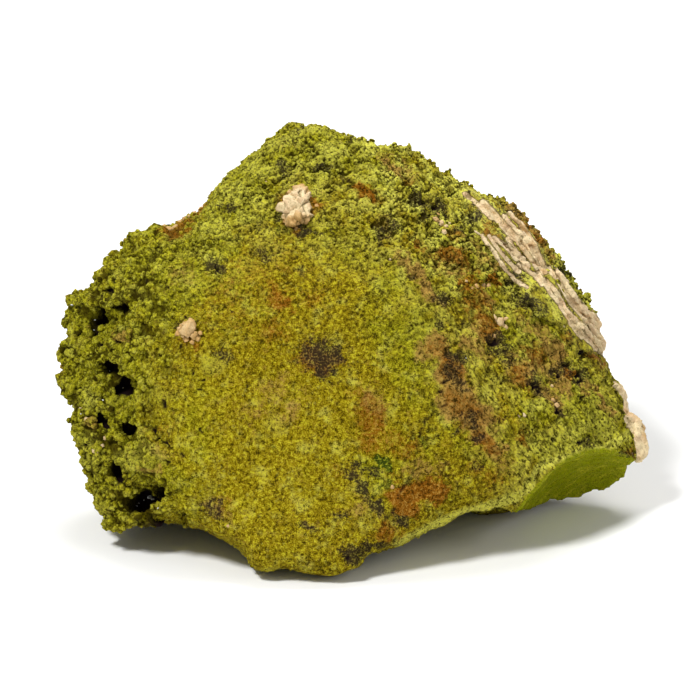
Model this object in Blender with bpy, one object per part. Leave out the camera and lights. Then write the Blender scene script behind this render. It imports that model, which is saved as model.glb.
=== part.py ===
"""A nontronite specimen: a broken lump of yellow-green clay rock with a cream chalcedony crust.

The lump is laid out square to its broad face, in a face frame in millimetres: u runs to the
right, v up the face and w out of it. It is then leaned back by LEAN and stood on three worn
pads. The layers of pale chalcedony grow on the finished lump, a hair clear of it.
"""

import math

import bmesh
import bpy
import numpy as np
from mathutils import Matrix, Vector, noise

MM = 0.001

# The lump's broad face leans back from upright by this angle, about its foot's edge: (v, w).
LEAN = math.radians(22)
FOOT = (-32.4, 13.0)

# The edge of the lump seen square to its broad face: (u, v) in millimetres, clockwise.
OUTLINE = [
    (-5.4, 35.1), (-1.5, 34.4), (2.3, 33.8), (5.9, 32.4), (9.2, 31.8), (12.6, 30.1), (14.4, 28.3),
    (18.4, 25.1), (20.6, 24.2), (23.7, 23.3), (27.0, 21.4), (30.5, 19.1), (32.0, 15.4),
    (34.2, 13.0), (37.2, 9.8), (38.0, 6.3), (38.3, 2.3), (39.0, -0.3), (40.6, -3.2),
    (42.4, -7.7), (43.0, -10.8), (44.0, -14.0), (43.4, -15.2), (42.2, -16.8), (40.5, -20.3),
    (36.8, -22.2), (30.8, -22.7), (27.4, -23.2), (23.8, -22.0), (19.5, -22.2), (15.0, -24.2),
    (12.0, -25.8), (7.5, -28.3), (3.8, -29.5), (2.6, -32.2), (-3.0, -31.9), (-8.2, -30.9),
    (-12.4, -31.5), (-13.6, -29.6), (-15.2, -27.6), (-20.0, -25.4), (-24.0, -24.7), (-30.0, -24.6),
    (-33.4, -25.6), (-34.9, -24.8), (-36.7, -21.2), (-37.9, -17.8), (-38.4, -14.2),
    (-40.0, -9.6), (-41.5, -6.4), (-42.9, -2.3), (-42.3, 6.3), (-41.3, 9.0), (-39.6, 10.0), (-37.9, 10.4),
    (-37.0, 13.2), (-33.7, 16.4), (-30.2, 18.8), (-28.0, 19.8), (-24.6, 19.9), (-21.0, 23.3),
    (-18.0, 26.5), (-13.6, 30.5), (-10.6, 33.5), (-8.4, 34.8),
]

# How far forward the outline's edge lies, by its bearing round the face in degrees.
EDGE_DEPTH = [
    (-180, -1.0), (-155, 0.5), (-140, 3.0), (-127, 8.0), (-112, 12.0), (-95, 12.5), (-84, 11.0),
    (-70, 9.0), (-56, 8.0), (-46, 6.0), (-38, 0.0), (-27, -9.0), (-12, -9.0), (10, -12.0),
    (45, -14.0), (98, -12.0), (150, -6.0),
]

FRONT_BULGE = 19.0
BACK_BULGE = 25.0
BULGE_SQUARENESS = 2.5

# Broken faces that trim the lump: (u, v, w) of the outward direction, distance, edge softness.
FACETS = {
    "broad face": ((0.02, 0.06, 1.0), 17.0, 1.5),
    "upper slope": ((-0.05, 0.58, 0.81), 17.6, 1.2),
    "right shoulder": ((0.62, 0.36, 0.70), 22.6, 2.0),
    "left flank": ((-0.70, 0.05, 0.71), 30.3, 1.2),
    "back right": ((0.34, -0.06, -0.94), 26.0, 0.4),
    "back left": ((-0.42, 0.05, -0.90), 25.5, 0.5),
    "back end": ((0.80, 0.10, -0.60), 37.5, 0.4),
    "back top": ((0.05, 0.66, -0.75), 29.5, 0.4),
}

# Voids among the nodules of the left flank: (u, v), radius and depth.
VOIDS = [
    (-38.8, 6.6, 1.3, 2.2), (-36.4, 5.6, 1.9, 3.6), (-33.6, 7.0, 1.5, 2.2), (-39.0, -1.8, 1.5, 2.4),
    (-35.6, -2.0, 1.9, 3.2), (-32.9, -4.8, 2.0, 3.4), (-39.6, -6.6, 1.3, 2.2), (-35.6, -9.0, 1.5, 2.6),
    (-32.2, -10.6, 1.4, 2.4), (-34.0, -16.8, 1.7, 2.8), (-38.0, -17.0, 1.1, 2.2),
    (-29.6, -20.6, 2.6, 4.2), (-32.0, -22.0, 1.8, 3.2),
]

# Worn spots on which the lump stands: (x, y) in plan from the face centre, radius, and how far
# down to the ground the rock reaches there.
PADS = [(-5.5, -20.5, 4.5, 0.0), (-22.0, 3.0, 3.6, 3.0), (22.5, 3.0, 3.6, 3.6), (-3.0, 8.5, 4.0, 3.0)]
UNDERSIDE_RISE = 1.7

# The shell-shaped hollow under the lip at the lower right: centre and radii along u, v and w.
HOLLOW_CENTRE = (40.0, -25.0, 3.0)
HOLLOW_RADII = (13.8, 11.3, 17.0)

# The crust's middle line down the right shoulder and behind the rim: (u, v, w), half width, thickness.
CRUST_LINE = [
    (19.5, 25.4, -5.0, 1.8, 0.7), (23.0, 22.6, -3.0, 3.6, 0.9), (27.0, 17.8, -1.0, 4.8, 1.2),
    (31.5, 11.8, 0.0, 5.0, 1.4), (35.5, 6.5, -1.5, 4.6, 1.6), (38.5, 2.4, -6.0, 3.6, 1.7),
    (39.6, -1.6, -10.5, 3.0, 0.7), (41.8, -6.4, -10.5, 3.0, 0.6), (44.4, -12.6, -8.0, 3.3, 2.2),
]

# Single pale nodules: (u, v, w) of the middle, half width and half height, thickness.
NODULES = {
    "upper_nodule": ((-6.3, 22.5, 4.4), (2.6, 3.2), 2.0),
    "left_nodule": ((-22.5, 4.2, 15.3), (1.75, 1.45), 1.1),
}

# The size of the lump's finest surface grain before its faces are thinned out.
SKIN_GRAIN = 0.6
LUMP_TRIANGLES = 6700
LAYER_GAP = 0.45
THINNEST_EDGE = 0.35
BORDER_ROUNDS = 3
BASE_EASING = 0.5
DIRECTION_ROUNDS = 12

# Colour, roughness and metallic value of each mineral.
NONTRONITE = ("nontronite", (0.29, 0.31, 0.015), 0.92, 0.0)
CHALCEDONY = ("chalcedony", (0.68, 0.54, 0.36), 0.55, 0.0)


def smooth(x):
    """Eases from 0 to 1."""
    x = np.clip(x, 0.0, 1.0)
    return x * x * (3.0 - 2.0 * x)


def at_each(points, value):
    """A noise value at each point."""
    return np.array([value(Vector(p)) for p in points])


def rough(points, scale, octaves, shift):
    """Fractal roughness, about -1 to 1."""
    moved = points / scale + shift
    return at_each(moved, lambda p: noise.fractal(p, 1.0, 2.0, octaves))


def cells(points, scale, shift):
    """Rounded nodules: 1 at each nodule's middle, 0 in the seams between them."""
    moved = points / scale + shift
    nearest = at_each(moved, lambda p: noise.voronoi(p)[0][0])
    return np.clip(1.0 - (nearest / 0.75) ** 2, 0.0, 1.0)


def around(bearing, keys):
    """A value read round the face from (bearing, value) pairs."""
    bearings, values = zip(*sorted(keys))
    return np.interp(bearing, bearings, values, period=360)


def outline_keys():
    """The outline as (bearing, radius) pairs."""
    return [(math.degrees(math.atan2(v, u)), math.hypot(u, v)) for u, v in OUTLINE]


def lump_form(directions):
    """The lump's plain form: the outline, swelling to the front and back."""
    bearing = np.degrees(np.arctan2(directions[:, 1], directions[:, 0]))
    across = np.hypot(directions[:, 0], directions[:, 1])
    out = np.abs(directions[:, 2])
    size = (across**BULGE_SQUARENESS + out**BULGE_SQUARENESS) ** (1 / BULGE_SQUARENESS)
    across, out = across / size, out / size
    reach = around(bearing, outline_keys()) * across
    edge = around(bearing, EDGE_DEPTH) * across**4
    bulge = np.where(directions[:, 2] > 0, FRONT_BULGE, -BACK_BULGE) * out
    turn = np.radians(bearing)
    return np.column_stack([reach * np.cos(turn), reach * np.sin(turn), edge + bulge])


def trim(points):
    """Trims the lump to its broken faces, each with a slightly worn edge."""
    for direction, distance, softness in FACETS.values():
        normal = np.array(Vector(direction).normalized())
        over = points @ normal - distance
        kept = -softness * np.logaddexp(0.0, -over / softness)
        points = points + np.outer(kept - over, normal)
    return points


def normals_of(mesh):
    """The mesh's vertex normals."""
    found = np.empty(len(mesh.vertices) * 3, np.float32)
    mesh.vertex_normals.foreach_get("vector", found)
    return found.reshape(-1, 3).astype(float)


def points_of(mesh):
    """The mesh's vertices."""
    found = np.empty(len(mesh.vertices) * 3, np.float32)
    mesh.vertices.foreach_get("co", found)
    return found.reshape(-1, 3).astype(float)


def move(mesh, points):
    """Puts the mesh's vertices at these points."""
    mesh.vertices.foreach_set("co", points.astype(np.float32).ravel())
    mesh.update()


def flank_share(points):
    """1 on the cavernous left flank, 0 on the rest."""
    return smooth((-24.0 - points[:, 0] + 0.12 * points[:, 1]) / 9.0)


def shoulder_share(points):
    """1 on the ribbed right shoulder, 0 on the rest."""
    along = points @ np.array([0.72, 0.42, 0.0])
    return smooth((along - 20.0) / 6.0) * smooth((points[:, 1] + 16.0) / 8.0)


def roughen(mesh):
    """Broken unevenness all over, with stepped ledges on the back."""
    points = points_of(mesh)
    swell = 1.3 * rough(points, 15.0, 3, 3.1)
    seams = 0.9 * np.abs(rough(points, 8.0, 3, 11.7))
    calm = 1.0 - 0.55 * smooth((points[:, 2] - 8.0) / 5.0) * (1.0 - flank_share(points))
    slope = points @ np.array([0.05, 0.10, 0.04]) + 0.9 * rough(points, 16.0, 2, 17.3)
    ledges = np.floor(slope) + smooth((slope % 1.0) * 2.2) - slope - 0.2
    ledges *= 2.2 * smooth((-3.0 - points[:, 2]) / 6.0) * (1.0 - 0.6 * flank_share(points))
    out = (swell - seams + 0.2) * calm + ledges
    move(mesh, points + normals_of(mesh) * out[:, None])


def add_nodules(mesh):
    """Nodules and voids on the left flank, and small knobs elsewhere."""
    points, normals = points_of(mesh), normals_of(mesh)
    flank = flank_share(points)
    knobs = 1.5 * flank * (cells(points, 3.4, 5.2) - 0.45)
    knobs += 0.5 * (1.0 - flank) * (cells(points, 4.2, 8.9) - 0.5)
    front = smooth((points[:, 2] + 4.0) / 3.0)
    pits = np.zeros(len(points))
    for u, v, radius, depth in VOIDS:
        distance = np.hypot(points[:, 0] - u, points[:, 1] - v)
        pits = np.maximum(pits, depth * front * smooth(1.35 - distance / radius))
    move(mesh, points + normals * (knobs - pits)[:, None])


def add_ribs(mesh):
    """Ribs that run down the right shoulder, from its top left to its bottom right."""
    points, normals = points_of(mesh), normals_of(mesh)
    across = points @ np.array([0.60, 0.62, -0.50])
    wander = 0.8 * rough(points, 9.0, 2, 21.3)
    ribs = 0.5 + 0.5 * np.cos(2 * math.pi * (across / 4.2 + wander))
    move(mesh, points + normals * (0.75 * shoulder_share(points) * (ribs - 0.4))[:, None])


def stand_up(points):
    """Face frame to upright, with the foot's edge on the ground."""
    u, v, w = points.T
    up = (v - FOOT[0]) * math.cos(LEAN) + (w - FOOT[1]) * math.sin(LEAN)
    back = v * math.sin(LEAN) - w * math.cos(LEAN)
    return np.column_stack([u, back, up])


def lie_back(points):
    """Upright to face frame, the reverse of stand_up."""
    u, back, up = points.T
    up = up + FOOT[0] * math.cos(LEAN) + FOOT[1] * math.sin(LEAN)
    v = back * math.sin(LEAN) + up * math.cos(LEAN)
    w = up * math.sin(LEAN) - back * math.cos(LEAN)
    return np.column_stack([u, v, w])


def wear_underside(mesh):
    """Lifts what would lie under the ground to a rough underside that meets it on the pads."""
    points = points_of(mesh)
    flat = points * [1.0, 1.0, 0.0]
    uneven = rough(flat, 6.0, 2, 31.9)
    rise = UNDERSIDE_RISE * (1.0 + 0.5 * uneven)
    height = points[:, 2]
    for x, y, radius, reach in PADS:
        distance = np.hypot(points[:, 0] - x, points[:, 1] - y) * (1.0 + 0.35 * uneven)
        on_pad = smooth(1.0 - (distance - radius) / 4.5)
        rise = rise * (1.0 - on_pad)
        height = height * (1.0 - on_pad * smooth(reach - height))
    points[:, 2] = np.maximum(height, np.maximum(rise, 0.0))
    move(mesh, points)


def hollow_cutter():
    """The shell-shaped hollow broken out under the lip at the lower right."""
    centre = stand_up(np.array([HOLLOW_CENTRE]))[0]
    shape = Matrix.Translation(Vector(centre))
    shape @= Matrix.Rotation(math.radians(90) - LEAN, 4, "X")
    shape @= Matrix.Diagonal((*HOLLOW_RADII, 1.0))
    bm = bmesh.new()
    bmesh.ops.create_icosphere(bm, subdivisions=5, radius=1.0, matrix=shape)
    mesh = bpy.data.meshes.new("fracture_hollow")
    bm.to_mesh(mesh)
    bm.free()
    cutter = bpy.data.objects.new("fracture_hollow", mesh)
    cutter.display_type = "WIRE"
    cutter.hide_render = True
    bpy.context.scene.collection.objects.link(cutter)
    return cutter


def with_modifiers(obj):
    """The object's mesh with its modifiers applied."""
    bpy.context.view_layer.update()
    graph = bpy.context.evaluated_depsgraph_get()
    return bpy.data.meshes.new_from_object(obj.evaluated_get(graph))


def finish_pads(mesh):
    """Cuts the pads truly flat, a tenth of a millimetre up, and sets them down on the ground."""
    level = 0.12
    bm = bmesh.new()
    bm.from_mesh(mesh)
    geometry = bm.verts[:] + bm.edges[:] + bm.faces[:]
    cut = bmesh.ops.bisect_plane(
        bm, geom=geometry, dist=1e-4, plane_co=(0, 0, level), plane_no=(0, 0, 1), clear_inner=True
    )
    rims = [e for e in cut["geom_cut"] if isinstance(e, bmesh.types.BMEdge)]
    bmesh.ops.contextual_create(bm, geom=rims)
    bmesh.ops.holes_fill(bm, edges=[e for e in bm.edges if e.is_boundary], sides=0)
    bmesh.ops.translate(bm, vec=(0, 0, -level), verts=bm.verts)
    bmesh.ops.recalc_face_normals(bm, faces=bm.faces)
    bmesh.ops.triangulate(bm, faces=bm.faces)
    bm.to_mesh(mesh)
    bm.free()


def make_lump():
    """The green lump, in upright millimetres."""
    bm = bmesh.new()
    bmesh.ops.create_icosphere(bm, subdivisions=7, radius=1.0)
    mesh = bpy.data.meshes.new("nontronite_lump")
    bm.to_mesh(mesh)
    bm.free()
    directions = points_of(mesh)
    directions /= np.linalg.norm(directions, axis=1)[:, None]
    move(mesh, trim(lump_form(directions)))
    roughen(mesh)
    add_nodules(mesh)
    add_ribs(mesh)
    move(mesh, stand_up(points_of(mesh)))
    wear_underside(mesh)
    lump = bpy.data.objects.new("nontronite_lump", mesh)
    bpy.context.scene.collection.objects.link(lump)
    cutter = hollow_cutter()
    even = lump.modifiers.new("one even skin", "REMESH")
    even.mode = "VOXEL"
    even.voxel_size = SKIN_GRAIN
    cut = lump.modifiers.new("fracture hollow", "BOOLEAN")
    cut.operation = "DIFFERENCE"
    cut.object = cutter
    lump.data = with_modifiers(lump)
    lump.modifiers.clear()
    lump.data.calc_loop_triangles()
    thin = lump.modifiers.new("fewer faces", "DECIMATE")
    thin.ratio = LUMP_TRIANGLES / len(lump.data.loop_triangles)
    lump.data = with_modifiers(lump)
    lump.modifiers.clear()
    bpy.data.objects.remove(cutter)
    finish_pads(lump.data)
    return lump


def crust_fields(points):
    """How far inside the crust's border each point lies, and the crust's thickness there."""
    inside = np.full(len(points), -np.inf)
    thickness = np.zeros(len(points))
    ragged = 1.1 * rough(points, 3.2, 3, 41.3)
    line = np.array(CRUST_LINE)
    for start, end in zip(line, line[1:]):
        run = end[:3] - start[:3]
        share = np.clip((points - start[:3]) @ run / (run @ run), 0.0, 1.0)
        middle = start + share[:, None] * (end - start)
        here = middle[:, 3] - np.linalg.norm(points - middle[:, :3], axis=1) + ragged
        nearer = here > inside
        inside[nearer] = here[nearer]
        thickness[nearer] = middle[nearer, 4]
    return inside, thickness * rib_height(points)


def rib_height(points):
    """Draped ribs that run down the crust, 0.5 in their seams and 1.2 on their crests."""
    along = np.array(Vector((0.50, -0.76, 0.42)).normalized())
    drawn_out = points - 0.82 * np.outer(points @ along, along)
    return 1.2 - 1.1 * np.abs(rough(drawn_out, 2.0, 2, 51.7))


def nodule_fields(centre, half_sizes, thickness):
    """The same two fields for a single nodule, as a function of the points."""
    def fields(points):
        offset = (points - centre) / [*half_sizes, 4.0 * max(half_sizes)]
        lumpy = 0.22 * rough(points, 1.6, 2, 61.9)
        inside = (1.0 - np.linalg.norm(offset, axis=1) + lumpy) * min(half_sizes)
        dome = np.sqrt(np.clip(inside / min(half_sizes), 0.0, 1.0))
        return inside, thickness * dome * (0.75 + 0.5 * cells(points, 1.7, 71.1))
    return fields


def centres_of(faces):
    """The faces' centres in the face frame."""
    return lie_back(np.array([face.calc_center_median() for face in faces]))


def drop_faces(bm, wanted):
    """Deletes the faces that aren't wanted."""
    gone = [face for face, keep in zip(bm.faces, wanted) if not keep]
    bmesh.ops.delete(bm, geom=gone, context="FACES")


def one_patch(bm):
    """Leaves the largest patch of faces, with no two of its corners meeting at a point."""
    pinched = [v for v in bm.verts if sum(e.is_boundary for e in v.link_edges) > 2]
    bmesh.ops.delete(bm, geom=pinched, context="VERTS")
    left = set(bm.faces)
    largest = set()
    while left:
        patch = {left.pop()}
        fresh = list(patch)
        while fresh:
            beside = {f for e in fresh.pop().edges for f in e.link_faces} & left
            left -= beside
            patch |= beside
            fresh.extend(beside)
        if len(patch) > len(largest):
            largest = patch
    drop_faces(bm, [face in largest for face in bm.faces])
    return bool(pinched)


def ease_border(bm, rounds):
    """Draws each border corner towards its two neighbours along the border."""
    for _ in range(rounds):
        eased = {}
        for vert in bm.verts:
            beside = [e.other_vert(vert).co for e in vert.link_edges if e.is_boundary]
            if beside:
                eased[vert] = vert.co / 2 + (beside[0] + beside[1]) / 4
        for vert, place in eased.items():
            vert.co = place


def growing_directions(bm, rounds):
    """The way out of the rock at each corner, evened with its neighbours so that no growth crosses."""
    outward = {vert: vert.normal.copy() for vert in bm.verts}
    for _ in range(rounds):
        evened = {}
        for vert in bm.verts:
            total = outward[vert].copy()
            for edge in vert.link_edges:
                total += outward[edge.other_vert(vert)]
            evened[vert] = total.normalized()
        outward = evened
    return outward


def grow_layer(lump, name, fields, cuts):
    """A mineral layer grown on the lump, as a closed shell a hair clear of it."""
    bm = bmesh.new()
    bm.from_mesh(lump.data)
    bm.faces.ensure_lookup_table()
    drop_faces(bm, fields(centres_of(bm.faces))[0] > -2.5)
    bmesh.ops.subdivide_edges(bm, edges=bm.edges[:], cuts=cuts, use_grid_fill=True)
    bmesh.ops.triangulate(bm, faces=bm.faces[:])
    drop_faces(bm, fields(centres_of(bm.faces))[0] > 0.0)
    while one_patch(bm):
        pass
    ease_border(bm, BORDER_ROUNDS)
    axes = {"use_axis_x": True, "use_axis_y": True, "use_axis_z": True}
    bmesh.ops.smooth_vert(bm, verts=bm.verts[:], factor=BASE_EASING, **axes)
    bm.normal_update()
    rise = bm.verts.layers.float_vector.new("rise")
    outward = growing_directions(bm, DIRECTION_ROUNDS)
    inside, thickness = fields(lie_back(np.array([v.co for v in bm.verts])))
    height = THINNEST_EDGE + thickness * smooth(inside / 1.2 + 0.15)
    for vert, tall in zip(bm.verts, height):
        vert[rise] = outward[vert] * float(tall)
        vert.co += outward[vert] * LAYER_GAP
    grown = bmesh.ops.extrude_face_region(bm, geom=bm.faces[:], use_keep_orig=True)
    for vert in grown["geom"]:
        if isinstance(vert, bmesh.types.BMVert):
            vert.co += vert[rise]
    bm.verts.layers.float_vector.remove(rise)
    bmesh.ops.recalc_face_normals(bm, faces=bm.faces[:])
    bmesh.ops.triangulate(bm, faces=bm.faces[:])
    mesh = bpy.data.meshes.new(name)
    bm.to_mesh(mesh)
    bm.free()
    layer = bpy.data.objects.new(name, mesh)
    bpy.context.scene.collection.objects.link(layer)
    return layer


def give_material(obj, name, colour, roughness, metallic):
    """The piece's own plain mineral colour."""
    material = bpy.data.materials.new(f"{name} of {obj.name}")
    material.use_nodes = True
    shader = material.node_tree.nodes["Principled BSDF"]
    shader.inputs["Base Color"].default_value = (*colour, 1.0)
    shader.inputs["Roughness"].default_value = roughness
    shader.inputs["Metallic"].default_value = metallic
    obj.data.materials.append(material)


def centre_on_base(objects):
    """Puts the origin at the middle of the whole specimen's base, and turns millimetres to metres."""
    points = np.vstack([points_of(obj.data) for obj in objects])
    low, high = points.min(axis=0), points.max(axis=0)
    middle = Vector(((low[0] + high[0]) / 2, (low[1] + high[1]) / 2, low[2]))
    place = Matrix.Scale(MM, 4) @ Matrix.Translation(-middle)
    for obj in objects:
        obj.data.transform(place)


def main():
    for obj in list(bpy.data.objects):
        bpy.data.objects.remove(obj)
    lump = make_lump()
    layers = [grow_layer(lump, "chalcedony_crust", crust_fields, 1)]
    for name, (centre, half_sizes, thickness) in NODULES.items():
        layers.append(grow_layer(lump, name, nodule_fields(centre, half_sizes, thickness), 2))
    give_material(lump, *NONTRONITE)
    for layer in layers:
        give_material(layer, *CHALCEDONY)
    centre_on_base([lump, *layers])


main()
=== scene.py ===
"""The looks of a nontronite specimen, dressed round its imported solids.

The lump gets its nodules, voids, ridges, grain and stains, the crust its draped ribs, and the
nodules their folds. Places on the face are told by the pixel at which the photograph shows
them, and sizes in millimetres.
"""
import math

import bmesh
import bpy
import numpy as np
from bpy.props import FloatProperty, FloatVectorProperty, PointerProperty
from mathutils import Matrix, Vector, noise
from mathutils.bvhtree import BVHTree
from mathutils.kdtree import KDTree


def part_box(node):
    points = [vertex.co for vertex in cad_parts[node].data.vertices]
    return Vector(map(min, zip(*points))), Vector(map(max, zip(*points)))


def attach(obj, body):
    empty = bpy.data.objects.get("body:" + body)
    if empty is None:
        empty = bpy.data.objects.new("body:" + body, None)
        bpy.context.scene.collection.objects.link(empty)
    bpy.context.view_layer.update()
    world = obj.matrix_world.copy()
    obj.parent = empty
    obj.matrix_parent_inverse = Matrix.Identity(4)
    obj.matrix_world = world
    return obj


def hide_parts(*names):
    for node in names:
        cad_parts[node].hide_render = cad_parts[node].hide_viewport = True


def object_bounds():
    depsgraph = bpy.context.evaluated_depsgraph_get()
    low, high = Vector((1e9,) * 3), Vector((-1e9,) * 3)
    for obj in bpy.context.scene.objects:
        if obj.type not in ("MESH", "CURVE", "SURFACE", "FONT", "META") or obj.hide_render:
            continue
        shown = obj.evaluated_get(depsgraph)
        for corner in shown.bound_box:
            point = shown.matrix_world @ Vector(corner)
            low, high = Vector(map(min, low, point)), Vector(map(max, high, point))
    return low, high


bl_info = {
    "name": "Nontronite Specimen",
    "version": (1, 0, 0),
    "blender": (4, 5, 0),
    "location": "View3D > Sidebar > Nontronite",
    "description": "Dresses the solids of a nontronite specimen with grain, crust and crystals",
    "category": "Add Mesh",
}

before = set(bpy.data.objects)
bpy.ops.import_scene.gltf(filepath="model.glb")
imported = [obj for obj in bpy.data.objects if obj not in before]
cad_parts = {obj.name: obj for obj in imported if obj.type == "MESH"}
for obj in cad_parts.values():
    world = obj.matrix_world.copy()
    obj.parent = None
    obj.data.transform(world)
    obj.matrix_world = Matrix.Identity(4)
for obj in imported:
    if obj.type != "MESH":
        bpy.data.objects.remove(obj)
CAD_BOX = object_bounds()

MM = 0.001
PHOTO_SIDE = 700
PHOTO_MIDDLE = PHOTO_SIDE / 2
SENSOR = 36.0

# The studio, in metres and watts: how far the floor reaches, then each light's name, place, side
# and power.
FLOOR_REACH = 4.0
LIGHTS = (
    ("key light", (-0.4, -0.42, 0.85), 0.2, 9.6),
    ("fill light", (0.7, -0.35, 0.5), 0.5, 1.6),
    ("top light", (0.1, 0.4, 0.9), 0.5, 6.0),
)

# The face frame that the solids are laid out in: its origin in plan millimetres and its lean.
FACE_LEAN = math.radians(22)
FACE_ORIGIN = np.array((-2.3, -0.95, 25.05))
RIGHT = np.array((1.0, 0.0, 0.0))
UP = np.array((0.0, math.sin(FACE_LEAN), math.cos(FACE_LEAN)))
OUT = np.array((0.0, -math.cos(FACE_LEAN), math.sin(FACE_LEAN)))

# Where the nodular flank, the ridged shoulder and the crumbly top begin, in mm from the face's
# middle, and how near the floor the crowded grains come.
FLANK_START = -20.5
SHOULDER_START = 9.0
TOP_START = 12.0
LOWEST_GRAIN = 1.2

# The way in which the right shoulder's ridges and steps run.
DOWN_RIGHT = 0.53 * RIGHT - 0.85 * UP

# The shell-shaped fracture under the lip: centre and radii along right, up and out, in mm.
FRACTURE_CENTRE = np.array((40.0, -25.0, 3.0))
FRACTURE_RADII = np.array((13.8, 11.3, 17.0))

# Voids of the left flank and lower edge: pixel, half length and half width in mm, turn, depth.
VOIDS = [
    (73, 306, 0.8, 0.6, 10, 1.6), (97, 320, 1.9, 0.85, 60, 2.4), (118, 309, 1.2, 0.7, 30, 1.6),
    (107, 290, 0.6, 0.4, 0, 0.9), (106, 269, 0.55, 0.3, 20, 0.8), (111, 280, 0.5, 0.35, 0, 0.8),
    (104, 369, 1.6, 0.8, -10, 2.2), (121, 388, 1.3, 1.0, -50, 2.4), (75, 368, 1.0, 0.5, 20, 1.5),
    (73, 386, 0.7, 0.5, -10, 1.3), (103, 420, 0.95, 0.6, -40, 1.8), (126, 430, 0.95, 0.5, 5, 1.6),
    (74, 423, 0.7, 0.5, 0, 1.2), (128, 420, 0.55, 0.4, -60, 1.0), (115, 473, 1.3, 0.7, -55, 2.0),
    (91, 478, 0.8, 0.4, -60, 1.3), (125, 487, 0.6, 0.45, 0, 1.1), (144, 501, 2.7, 1.1, 28, 3.6),
    (183, 520, 0.95, 0.5, -70, 1.8), (163, 515, 0.5, 0.4, 0, 0.9), (154, 432, 0.85, 0.4, -50, 1.1),
    (166, 443, 1.2, 0.28, -35, 0.7), (83, 411, 0.45, 0.4, 0, 0.9), (88, 415, 0.4, 0.35, 0, 0.9),
    (109, 502, 0.5, 0.4, 0, 0.8), (142, 425, 0.4, 0.35, 0, 0.8), (96, 345, 0.6, 0.35, 40, 0.9),
    (62, 350, 0.5, 0.4, 0, 0.8), (85, 446, 0.4, 0.3, 0, 0.6), (112, 442, 0.4, 0.3, 30, 0.7),
    (216, 265, 0.8, 0.45, -50, 0.6), (557, 374, 0.6, 0.3, -40, 0.7), (581, 373, 0.4, 0.3, 0, 0.6),
    (583, 379, 0.4, 0.25, 0, 0.6), (585, 352, 0.85, 0.35, -75, 0.9), (570, 364, 0.5, 0.4, 0, 0.6),
    (531, 238, 0.7, 0.4, -50, 0.7), (444, 383, 0.5, 0.22, 25, 0.6), (440, 391, 0.5, 0.3, -70, 0.6),
    (311, 143, 0.5, 0.3, -60, 0.6), (247, 386, 0.3, 0.25, 0, 0.5), (495, 341, 0.9, 0.4, -20, 0.5),
    (438, 206, 0.7, 0.5, -30, 0.7), (425, 199, 0.8, 0.6, -30, 0.7), (418, 203, 0.4, 0.3, 0, 0.5),
    (156, 350, 0.3, 0.22, 0, 0.5), (159, 355, 0.32, 0.25, 0, 0.5), (192, 374, 0.38, 0.25, 30, 0.5),
    (204, 374, 0.28, 0.22, 0, 0.5), (204, 382, 0.32, 0.18, 35, 0.5), (198, 389, 0.42, 0.2, 0, 0.4),
    (180, 347, 0.25, 0.3, 0, 0.5), (116, 342, 0.35, 0.3, 0, 0.6), (200, 429, 0.4, 0.22, 0, 0.4),
    (168, 461, 0.45, 0.25, 0, 0.5), (181, 455, 0.5, 0.25, -30, 0.5), (170, 409, 0.3, 0.25, 0, 0.5),
    (163, 405, 0.3, 0.25, 0, 0.5), (167, 286, 0.45, 0.25, 0, 0.5), (145, 279, 0.3, 0.45, 0, 0.6),
    (148, 249, 0.4, 0.25, 0, 0.5), (165, 300, 0.35, 0.25, 0, 0.5), (556, 439, 0.25, 0.25, 0, 0.5),
    (582, 444, 0.4, 0.3, 0, 0.5), (586, 442, 0.3, 0.25, 0, 0.5), (561, 410, 0.6, 0.25, -40, 0.5),
    (539, 388, 0.7, 0.3, -55, 0.6), (582, 399, 0.35, 0.4, 0, 0.5), (348, 557, 0.4, 0.5, 30, 0.4),
]

# Cracks across the face, as runs of pixels.
CRACKS = [
    [(432, 403), (436, 408), (431, 415), (425, 421), (424, 426), (420, 434), (418, 446), (416, 455),
     (415, 462), (413, 472), (408, 482), (400, 492)],
    [(436, 408), (447, 405)], [(400, 493), (397, 498)], [(395, 509), (384, 522), (382, 528)],
    [(467, 315), (466, 324), (463, 330)],
]

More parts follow.
